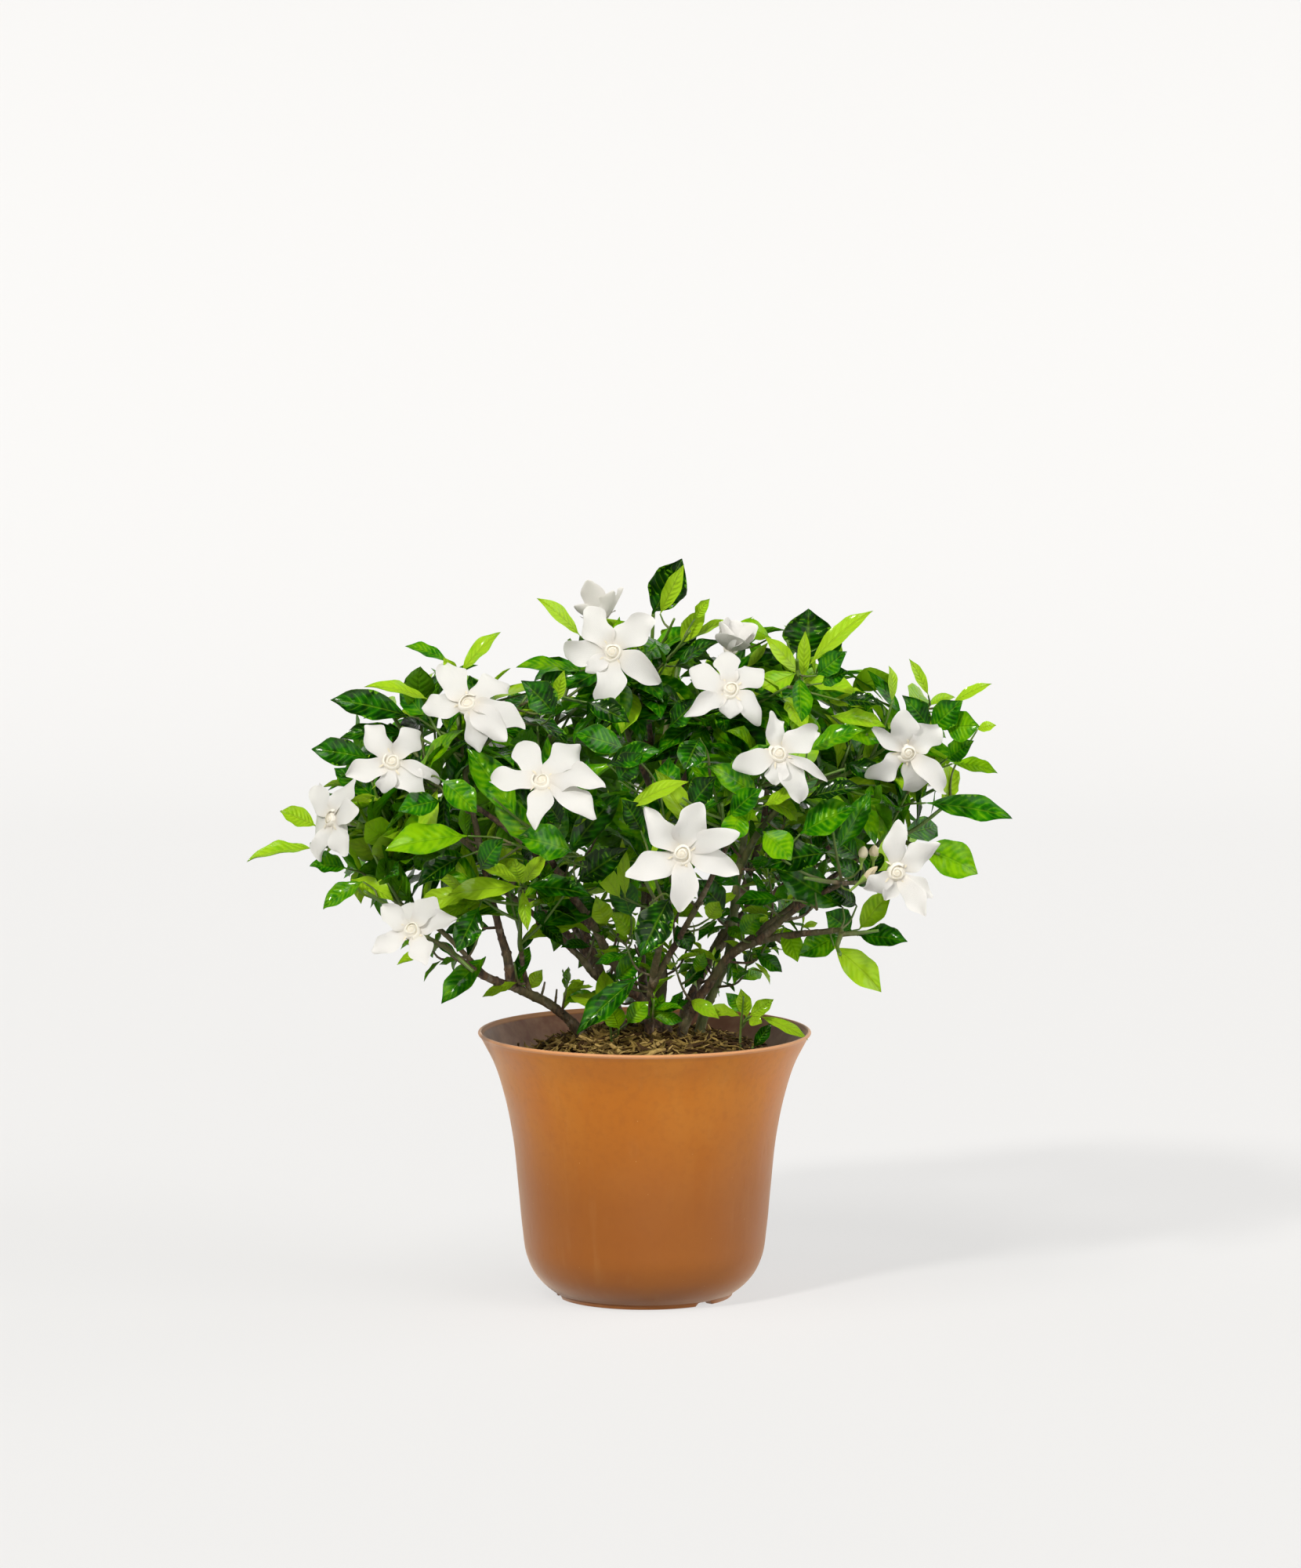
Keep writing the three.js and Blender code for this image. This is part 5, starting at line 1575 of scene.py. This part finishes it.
BRANCHES: dict[str, Branch] = {
    "branch_low_left": Branch((-132, -85, 248), ("low_left", (-112, -108, 234), (-162, -66, 262))),
    "branch_left_upright": Branch((-117, -88, 358), ("left_top", (-127, -52, 424))),
    "branch_left_side": Branch((-146, -62, 265), ((-184, -84, 284), (-190, -36, 292)), 0.6),
    "branch_young_shoot": Branch((-82, -45, 240), ((-82, -82, 286),), 0.3),
    "branch_centre_left": Branch((-62, -80, 305), ("centre_left", (-58, -142, 314))),
    "branch_far_left": Branch((-118, -38, 292), ("far_left", (-222, -28, 308)), 0.6),
    "branch_left_high": Branch((-122, -76, 346), ("left", (-168, -52, 400)), 0.85),
    "branch_crown_front": Branch((-8, -36, 374), ("crown_front", (-50, -40, 446))),
    "branch_crown_top": Branch((2, -2, 398), ((6, -16, 462), "crown_back")),
    "branch_crown_right": Branch((38, -30, 374), ("half_open", "upper_right")),
    "branch_front_low": Branch((14, -96, 268), ("front", (4, -132, 282)), 0.9),
    "branch_front_high": Branch((54, -116, 318), ((50, -158, 350), "right_centre"), 0.55),
    "branch_right_low": Branch((125, -78, 257), ((128, -116, 246), (154, -86, 258))),
    "branch_right_front": Branch((126, -98, 289), ("low_right", (104, -142, 300)), 0.95),
    "branch_far_right": Branch((150, -28, 304), ((203, -26, 336), (194, -66, 306))),
    "branch_right_high": Branch((104, -34, 344), ("right", (190, -12, 400)), 0.6),
    "branch_right_crown": Branch((92, -30, 394), ((126, -24, 438), (100, -78, 436)), 0.55),
    "branch_back_left_crown": Branch((-70, 68, 344), ("back_left", (-42, 80, 436))),
    "branch_back_left_far": Branch((-128, 62, 304), ((-176, 92, 344), (-198, 38, 346))),
    "branch_back_left_low": Branch((-75, 105, 261), ((-104, 156, 280), (-146, 124, 292))),
    "branch_back": Branch((0, 114, 289), ("back", (-20, 166, 286))),
    "branch_back_crown": Branch((14, 75, 368), ((26, 94, 444), (-12, 144, 400))),
    "branch_back_right_crown": Branch((84, 70, 344), ((104, 72, 418), (62, 146, 392))),
    "branch_back_right_far": Branch((130, 60, 299), ("back_right", (200, 34, 340))),
    "branch_back_right_low": Branch((82, 108, 261), ((104, 160, 280), (148, 118, 288))),
    "sprout_left": Branch((-22, -34, ROOTING), ((-26, -56, 206),), 0.35, 0.8),
    "sprout_right": Branch((64, -18, ROOTING), ((66, -28, 206),), 0.1, 0.45),
}
SPROUT_KNEE = {"sprout_left": (-22, -37, 180), "sprout_right": (64, -20, 180)}
CUP_LENGTH = 9.0
STALK_LENGTH = 7.0
LEAF_SPOTS = (2.5, 8.0, 16.0, 26.0, 37.0, 49.0, 62.0, 76.0)  # from a twig's tip, where leaves stand
YOUNG_BELOW = 0.44  # the age under which a leaf has the young skin
BARE_SPACING = {"low_left": 110.0}  # how far apart shoots stand on a stem that is nearly bare
BARE_LIMB = LeafMark((650, 1232), (598, 999), 16.0, Tone.DEEP, depth=-52.0)  # wood that shows


@dataclass
class Foliage:
    """Green twigs, the leaves along them and, on a branch, the cups that hold its flowers.

    The twigs of a branch start at its root, and those of bare wood start along the wood, in anchors.
    """

    name: str
    seed: int
    branch: Branch
    anchors: list[Array] = field(default_factory=list)
    leaf_length: float = 50.0
    leaf_ratio: float = 0.41
    twig_radius: float = 1.7
    shoot_rise: tuple[float, float] = (225.0, 395.0)
    spacing: float = 42.0
    twig_step: float = 3.0
    plain_rings: int = 17
    hidden_rings: int = 9
    around: int = 8
    thickness: float = 0.35
    leaf_seed: int = 1000
    paths: list[Array] = field(default_factory=list)
    spurs: list[Array] = field(default_factory=list)
    marked: list[Blades] = field(default_factory=list)
    blades: Blades | None = None

    def twig_ends(self) -> list[Array]:
        """The end of each main twig: a tip, or the foot of a flower's stalk."""
        back = THROAT + CUP_LENGTH + STALK_LENGTH
        return [BLOOMS[t].heel(back) if isinstance(t, str) else np.array(t, float) for t in self.branch.tips]

    def wood_direction(self) -> Array:
        """The way that the wood points where this branch leaves it."""
        for limb in (limb for limbs in STEMS.values() for limb in limbs):
            if np.allclose(limb.path[-1], self.branch.root):
                return unit(np.subtract(limb.path[-1], limb.path[-2]))
        return UP

    def grow_twigs(self) -> None:
        """Lays the main twigs, then side twigs that leave them and turn outwards and up."""
        rng = np.random.default_rng(self.seed)
        if self.anchors:
            self.grow_wood_twigs(rng)
            return
        root, onward, ends = np.array(self.branch.root, float), self.wood_direction(), self.twig_ends()
        if self.name in SPROUT_KNEE:
            self.paths.append(smooth_path([root, SPROUT_KNEE[self.name], ends[0]], self.twig_step))
            return
        sag = 0.06 * size_of(ends[0] - root) * UP
        waypoints = [root - onward, root + 4 * onward, (root + ends[0]) / 2 - sag, ends[0]]
        first = smooth_path(waypoints, self.twig_step)
        self.paths.append(first)
        fork = first[int(0.3 * len(first))]
        for end in ends[1:]:
            bend = (fork + end) / 2 - 0.06 * (end - fork)[2] * UP
            self.paths.append(smooth_path([fork, bend, end], self.twig_step))
        for path in list(self.paths):
            out = unit((path[-1] - CANOPY_MIDDLE) * [1, 1.2, 1])
            for share in (0.14, 0.34, 0.56, 0.8):
                self.side_twig(path, share, out, rng)

    def side_twig(self, path: Array, share: float, out: Array, rng: Random) -> None:
        """Adds a twig that leaves a path towards out and up, unless it would leave the canopy."""
        k = int(share * (len(path) - 2))
        tangent = unit(path[k + 1] - path[k])
        for _ in range(6):
            spoke = across_of(rng.normal(0, 1, 3), tangent)
            way = unit(0.8 * spoke + 0.5 * tangent + 0.45 * out + 0.15 * UP) * rng.uniform(30, 58)
            end = path[k] + way
            middle = path[k] + way * 0.5 - 0.05 * size_of(way) * UP
            clear = not hides_bloom(np.array([middle, end]))
            if canopy_share(end) < 0.88 and end[2] > self.shoot_rise[0] and clear:
                self.paths.append(smooth_path([path[k], middle, end], self.twig_step))
                return

    def grow_wood_twigs(self, rng: Random) -> None:
        """Thin twigs that rise from bare wood and bend up."""
        for anchor in self.anchors:
            for share in np.arange(0.3, 0.95, self.spacing / (3 * len(anchor))):
                k = int(share * (len(anchor) - 2))
                tangent = unit(anchor[k + 1] - anchor[k])
                spoke = across_of(rng.normal(0, 1, 3) * [1, 1, 0.4], tangent)
                length = rng.uniform(22, 60)
                middle = anchor[k] + (0.5 * spoke + 0.3 * tangent) * length * 0.6
                end = middle + (0.35 * spoke + 0.7 * UP) * length * 0.7
                if end[2] < self.shoot_rise[1] and not hides_bloom(np.array([middle, end])):
                    self.paths.append(smooth_path([anchor[k], middle, end], self.twig_step))

    def attach(self, mark: LeafMark) -> None:
        """Grows a short twig from the nearest path to a marked leaf's foot, and adds the leaf."""
        foot, tip = mark.ends()
        length = float(size_of(tip - foot))
        along, tilt = (tip - foot) / length, math.radians(mark.tilt)
        self.reach(foot, along)
        face = across_of(np.array([0.0, -math.cos(tilt), math.sin(tilt)]), along)
        droop, shade = 0.35, (mark.foot[0] * 0.37) % 1
        lean = math.sin(droop / 2)
        ways = unit(along + lean * face)[None], unit(face - lean * along)[None]
        bends = {"droop": droop, "curl": 0.25, "fold": 0.25 + 0.5 * shade, "wave": 0.06 + 0.1 * shade}
        bends |= {"twist": 0.5 * shade - 0.25, "roll": 0.9 * shade, "sweep": 0.16 * (shade - 0.5)}
        size = length * 1.03, mark.width
        self.marked.append(Blades(foot[None], *ways, *size, mark.tone.value, shade, **bends))

    def reach(self, foot: Array, along: Array) -> None:
        """Grows a thin twig from the nearest path to a foot, where it points along; it bends away behind."""
        near = self.nearest(foot)
        gap = float(size_of(near - foot))
        if gap > 3:
            bend = 0.5 * (near + foot) + gap * (0.12 * (unit(near - foot) - along) + np.array([0, 0.15, 0]))
            self.spurs.append(smooth_path([near, bend, foot + 0.5 * along], 2.5))

    def nearest(self, point: Array) -> Array:
        """The point of its twigs or wood that is nearest to a point, below it and not in front of it."""
        every = np.concatenate(self.paths + self.anchors)
        ahead = np.maximum(point[1] - 5 - every[:, 1], 0)
        above = np.maximum(every[:, 2] + 8 - point[2], 0)
        return every[np.argmin(size_of(every - point) + 2 * ahead + 1.2 * above)]

    def leaves_on(self, path: Array, rng: Random) -> Blades:
        """Leaves in pairs and threes along a twig, crosswise to those below, closer at its tip."""
        steps = run_of(path)
        spots = [s * rng.uniform(0.9, 1.1) for s in LEAF_SPOTS if s < steps[-1] - 5]
        rank, third = np.divmod(np.arange(3 * len(spots)), 3)
        threes = (rank == 1) | (rank == 2)
        rank, third, count = (each[threes | (third < 2)] for each in (rank, third, np.where(threes, 3, 2)))
        spot, n = steps[-1] - np.array(spots)[rank], len(rank)
        base, ahead = (
            np.stack([np.interp(s, steps, line) for line in path.T], axis=1) for s in (spot, spot + 2)
        )
        tangent = unit(ahead - base + 1e-3 * UP)
        turn = rng.uniform(0, TURN) + TURN * third / count + (math.pi / count) * rank + rng.normal(0, 0.22, n)
        side = across_of(np.broadcast_to(np.array([0.31, 0.93, 0.2]), tangent.shape), tangent)
        steep = (np.interp(rank, [0, 1, 2, 6], [0.5, 0.85, 1.1, 1.3]) + rng.normal(0, 0.12, n))[:, None]
        grown = np.interp(rank, [0, 1, 2, 6], [0.55, 0.85, 1.02, 0.92])
        out = unit((base - CANOPY_MIDDLE) * [1, 1.15, 1.0] + 30 * UP)
        along = np.cos(steep) * tangent + np.sin(steep) * oval(turn, side, np.cross(tangent, side))
        along = unit(along + 0.3 * out - 0.04 * UP)
        face = across_of(0.55 * tangent + 0.5 * out + 0.5 * UP + rng.normal(0, 0.2, (n, 3)), along)
        size = self.leaf_length * self.branch.size * grown * rng.uniform(0.8, 1.18, n)
        young = np.clip((0.98 - grown) * 1.7, 0, 1)
        inner = 0.5 * np.clip(0.75 - canopy_share(base), 0, 1)
        return Blades(
            base=base,
            along=along,
            face=face,
            length=size,
            age=np.clip(self.branch.age + inner + rng.normal(0, 0.26, n) - 0.6 * young, 0, 1),
            width=size * self.leaf_ratio * rng.uniform(0.85, 1.12, n) * (1 - 0.25 * young),
            droop=rng.uniform(0.0, 0.85, n),
            curl=rng.uniform(-0.3, 0.7, n),
            fold=rng.uniform(0.15, 0.95, n),
            wave=rng.uniform(0.04, 0.18, n),
            twist=rng.normal(0, 0.38, n),
            shade=rng.uniform(0, 1, n),
            roll=rng.uniform(-0.3, 1.1, n),
            sweep=rng.normal(0, 0.06, n),
        )

    def wanted(self) -> Blades:
        """All the leaves that its twigs would bear."""
        rng = np.random.default_rng(self.seed + self.leaf_seed)
        return Blades.join([self.leaves_on(path, rng) for path in self.paths])

    def twig_patch(self, path: Array, radius: float, old: float) -> Patch:
        """A twig: woody at its start, to the share old, and green at its tip."""
        share = np.linspace(0, 1, len(path))
        made = tube(path, radius * (1 - 0.35 * share), 8, 0, 0.14, self.seed)
        return made.tag(age=old * (1 - share) ** 0.7)

    def cup_patches(self, bloom: Bloom) -> list[Patch]:
        """A flower's stalk and its ribbed green cup, with narrow teeth round the throat."""
        axis, heel, steps = bloom.axis, bloom.heel(THROAT), np.linspace(0, 1, 10)
        path = heel + (steps[:, None] - 1) * axis * (CUP_LENGTH + STALK_LENGTH)
        cup = tube(path, 1.15 + 1.9 * smoothstep(0.42, 0.9, steps), 12, 3).tag(age=0.75)
        spokes = around_axis(axis, turns(6))
        along = unit(spokes * 0.28 + axis)
        bends = dict.fromkeys(("droop", "curl", "fold", "twist", "roll"), 0.25)
        ways = along, across_of(-spokes, along)
        teeth = Blades(heel + spokes * 2.4 - axis, *ways, 13.0, 2.6, 0.55, 0.5, **bends)
        return [cup, blade_patch(teeth, leaf_outline, 6, 6, 0.5, 3)]

    def build(self, skins: Sequence[Material]) -> Thing:
        """Makes the branch from the leaves that it kept."""
        mains = 0 if self.anchors else len(self.branch.tips)
        age = self.branch.age
        thick, old = (1.0, 0.6) if self.name in SPROUT_KNEE else (self.twig_radius, 0.8 * age)
        patches = [self.twig_patch(path, thick, old) for path in self.paths[:mains]]
        side, old = (0.95, 1.0) if self.anchors else (1.15, 0.6 * age)
        patches += [self.twig_patch(path, side, old) for path in self.paths[mains:]]
        patches += [self.twig_patch(path, 0.85, 0.55) for path in self.spurs]
        young = self.blades.age < YOUNG_BELOW
        plain = np.arange(len(young)) < len(self.marked)
        for material, skin in ((1, ~young), (2, young)):
            for rings, chosen in ((self.plain_rings, skin & plain), (self.hidden_rings, skin & ~plain)):
                if chosen.any():
                    fineness = rings, self.around, self.thickness
                    patches.append(blade_patch(self.blades.pick(chosen), leaf_outline, *fineness, material))
        for tip in self.branch.tips:
            if isinstance(tip, str):
                patches += self.cup_patches(BLOOMS[tip])
        made = piece(f"leaves_{self.name}", patches, skins)
        return settle(made, "leaf", *([] if self.anchors else [self.name]))


@dataclass
class Canopy:
    """All the foliage, thinned so that leaves stay in the canopy, off the flowers and off each other."""

    foliage: list[Foliage]
    least_gap: float = 5.2
    pot_clear: float = 186.0
    petal_clear: float = 3.0
    petals_behind: float = -8.0
    petals_before: float = 30.0
    mark_clear: float = 6.0

    def grow(self) -> None:
        """Lays the twigs, adds the marked leaves to the twig nearest to each, and thins the rest."""
        for each in self.foliage:
            each.grow_twigs()
        for mark in LEAF_MARKS:
            self.closest(mark.ends()[0]).attach(mark)
        for bud in BUDS.values():
            foot = np.array(bud.at, float)
            self.closest(foot).reach(foot, unit(np.array(bud.to) - foot))
        self.thin()

    def closest(self, point: Array) -> Foliage:
        """The foliage whose twigs come nearest to a point."""
        return min(self.foliage, key=lambda each: float(size_of(each.nearest(point) - point)))

    def thin(self) -> None:
        """Drops leaves that stick out, or that hide or pierce a flower, a marked leaf or a kept leaf."""
        wanted = [each.wanted() for each in self.foliage]
        owner = np.concatenate([np.full(len(w), k) for k, w in enumerate(wanted)])
        low = np.array([bool(each.anchors) or each.name in SPROUT_KNEE for each in self.foliage])[owner]
        every = Blades.join(wanted)
        length = every.length[:, None]
        middle = every.base + 0.55 * length * every.along
        tip = every.base + 0.95 * length * every.along - 0.2 * length * every.face
        keep = (low | (canopy_share(tip) < 1.0)) & (np.minimum(tip[:, 2], middle[:, 2]) > self.pot_clear)
        for bloom in BLOOMS.values():
            keep &= ~self.troubles(bloom, middle) & ~self.troubles(bloom, tip)
        for mark in [*LEAF_MARKS, BARE_LIMB]:
            keep &= ~self.covers(mark, middle) & ~self.covers(mark, tip)
        kept: list[int] = []
        for k in np.flatnonzero(keep):
            if not kept or size_of(middle[kept] - middle[k]).min() > self.least_gap:
                kept.append(int(k))
        chosen = np.zeros(len(every), bool)
        chosen[kept] = True
        for k, each in enumerate(self.foliage):
            each.blades = Blades.join([*each.marked, every.pick(chosen & (owner == k))])
        LOG.info("leaves kept: %d of %d", chosen.sum(), len(every))

    def troubles(self, bloom: Bloom, points: Array) -> Array:
        """Whether each point is inside a flower, or in front of it in the view."""
        off = points - bloom.middle
        ahead = off @ bloom.axis
        flat = size_of(off - ahead[:, None] * bloom.axis)
        level = (ahead > self.petals_behind) & (ahead < self.petals_before)
        inside = (flat < bloom.width * 0.5 + self.petal_clear) & level
        return inside | passes_before(bloom, points)

    def covers(self, mark: LeafMark, points: Array) -> Array:
        """Whether each point is in front of a marked leaf in the view."""
        foot, tip = np.array(mark.foot), np.array(mark.tip)
        shown = VIEW.shown(points)
        share = np.clip((shown - foot) @ (tip - foot) / np.sum((tip - foot) ** 2), 0, 1)
        apart = size_of(shown - foot - share[:, None] * (tip - foot))
        depth = mark.ends()[0][1]
        return (apart < mark.width + self.mark_clear) & (points[:, 1] < depth + self.mark_clear)


# --- studio


@dataclass
class Studio:
    """The floor and its sweep, the lights and the camera."""

    floor_front: float = -14000.0
    sweep_start: float = 2600.0
    sweep_radius: float = 1500.0
    sweep_top: float = 4500.0
    half_width: float = 14000.0
    warm_white: Colour = (1.0, 0.99, 0.98)

    def floor(self) -> Thing:
        """A level floor that curves up into a wall behind."""
        flat, turn = np.linspace(self.floor_front, self.sweep_start, 12), np.linspace(0, math.pi / 2, 24)[1:]
        wall = self.sweep_start + self.sweep_radius
        y = np.concatenate([flat, self.sweep_start + self.sweep_radius * np.sin(turn), [wall]])
        z = np.concatenate([np.zeros(len(flat)), self.sweep_radius * (1 - np.cos(turn)), [self.sweep_top]])
        x = np.linspace(-self.half_width, self.half_width, 9)
        rows, columns = len(y), len(x)
        points = np.stack([np.tile(x, rows), np.repeat(y, columns), np.repeat(z, columns)], axis=1)
        row, column = np.meshgrid(np.arange(rows - 1), np.arange(columns - 1), indexing="ij")
        corner = (row * columns + column).reshape(-1)
        quads = np.stack([corner, corner + 1, corner + columns + 1, corner + columns], axis=1)
        sheet = Patch(points, quads, np.zeros((0, 3), int))
        made = piece("studio_floor", [sheet], [StudioFloor().material()])
        made.visible_diffuse = made.visible_shadow = False
        return made

    @staticmethod
    def sun(name: str, toward: Point, power: float, spread_degrees: float, colour: Colour) -> None:
        """A far light that comes from the direction toward, in watts per square metre."""
        data = bpy.data.lights.new(name, "SUN")
        data.energy, data.angle, data.color = power, math.radians(spread_degrees), colour
        lamp = bpy.data.objects.new(name, data)
        lamp.rotation_euler = Vector(toward).to_track_quat("Z", "Y").to_euler()
        bpy.context.scene.collection.objects.link(lamp)

    def lights(self) -> None:
        """A key from the left, a fill from the right, soft light from all round and above, and a surround."""
        white = self.warm_white
        self.sun("key_left", (-0.7, -1.0, 0.85), 2.35, 7, (1.0, 0.985, 0.955))
        self.sun("fill_right", (1.0, -0.55, 0.5), 1.6, 40, white)
        self.sun("rim_left", (-1.0, 0.3, 0.3), 0.6, 60, white)
        self.sun("rim_right", (1.0, 0.3, 0.3), 1.5, 60, white)
        self.sun("floor_bounce", (-0.1, -0.5, -1.0), 0.42, 80, (1.0, 0.98, 0.96))
        self.sun("soft_front", (0.1, -1.0, 0.15), 0.85, 40, white)
        self.sun("soft_top", (-0.3, -0.5, 1.0), 1.0, 24, (1.0, 0.99, 0.97))
        world = bpy.data.worlds.new("surround")
        world.use_nodes = True
        background = world.node_tree.nodes["Background"]
        background.inputs["Color"].default_value = (1.0, 0.99, 0.975, 1.0)
        background.inputs["Strength"].default_value = 0.08
        bpy.context.scene.world = world

    @staticmethod
    def camera() -> None:
        """The photograph's view: a long lens, a little above the plant."""
        data = bpy.data.cameras.new("camera")
        data.sensor_width = VIEW.sensor_mm
        data.lens = VIEW.lens_pixels * VIEW.sensor_mm / VIEW.high
        data.clip_end = 100
        camera = bpy.data.objects.new("camera", data)
        camera.location = Vector(VIEW.at) * MM
        camera.rotation_euler = (Vector(VIEW.aim) - Vector(VIEW.at)).to_track_quat("-Z", "Y").to_euler()
        bpy.context.scene.collection.objects.link(camera)
        bpy.context.scene.camera = camera
        bpy.context.scene.view_settings.view_transform = "Standard"

    def build(self) -> None:
        """Makes the studio."""
        self.camera()
        self.floor()
        self.lights()


# --- the plant

MATURE = LeafSkin(
    LeafStage.MATURE, (0.0006, 0.018, 0.0003), (0.022, 0.21, 0.001), (0.34, 0.62, 0.003), (0.22, 0.48, 0.01),
    (0.12, 0.34, 0.006), (0.12, 0.66, 0.001), 0.46, 0.17,
)  # fmt: skip
YOUNG = LeafSkin(
    LeafStage.YOUNG, (0.07, 0.3, 0.003), (0.2, 0.48, 0.006), (0.44, 0.66, 0.02), (0.5, 0.68, 0.05),
    (0.34, 0.52, 0.03), (0.55, 0.85, 0.01), 0.42, 0.24,
)  # fmt: skip
HEART = PetalSkin("petal_heart", (0.95, 0.94, 0.9), (0.94, 0.84, 0.6), (0.95, 0.9, 0.74), 0.4)
BUD_SKIN = PetalSkin("petal_bud", (0.86, 0.8, 0.58), (0.8, 0.58, 0.38), (0.86, 0.78, 0.5), 0.3)
FIRST_SEED = {Wood: 30, Flower: 200, Foliage: 400}
SHOOTS_SEED = 500


def main() -> None:
    """Builds the studio, the pot and the plant."""
    logging.basicConfig(level=logging.INFO, format="%(name)s %(message)s")
    Studio().build()
    pot = Pot()
    pot.build()
    soil = SoilBed(pot)
    soil.build()
    Mulch(soil).build()
    bark = Bark().material()
    for k, (name, limbs) in enumerate(STEMS.items()):
        Wood(name, limbs, FIRST_SEED[Wood] + 10 * k, WOOD_AGE.get(name, 1.0)).build(bark)
    petal, heart, green = PetalSkin().material(), HEART.material(), GreenSkin().material()
    for k, (name, bloom) in enumerate(BLOOMS.items()):
        Flower(name, bloom, FIRST_SEED[Flower] + k).build(petal, heart)
    bud_skin = BUD_SKIN.material()
    for name, bud in BUDS.items():
        bud.build(name, bud_skin, green)
    first = FIRST_SEED[Foliage]
    foliage = [Foliage(name, first + k, branch) for k, (name, branch) in enumerate(BRANCHES.items())]
    for k, (name, limbs) in enumerate(STEMS.items()):
        wood = [smooth_path(limb.path, 3) for limb in limbs]
        grown = Foliage(f"shoots_{name}", SHOOTS_SEED + k, Branch(ORIGIN, (), 0.6, 0.5), wood)
        grown.spacing = BARE_SPACING.get(name, grown.spacing)
        foliage.append(grown)
    canopy = Canopy(foliage)
    canopy.grow()
    skins = [bark, MATURE.material(), YOUNG.material(), green]
    for branch in canopy.foliage:
        branch.build(skins)


if __name__ == "__main__":
    main()
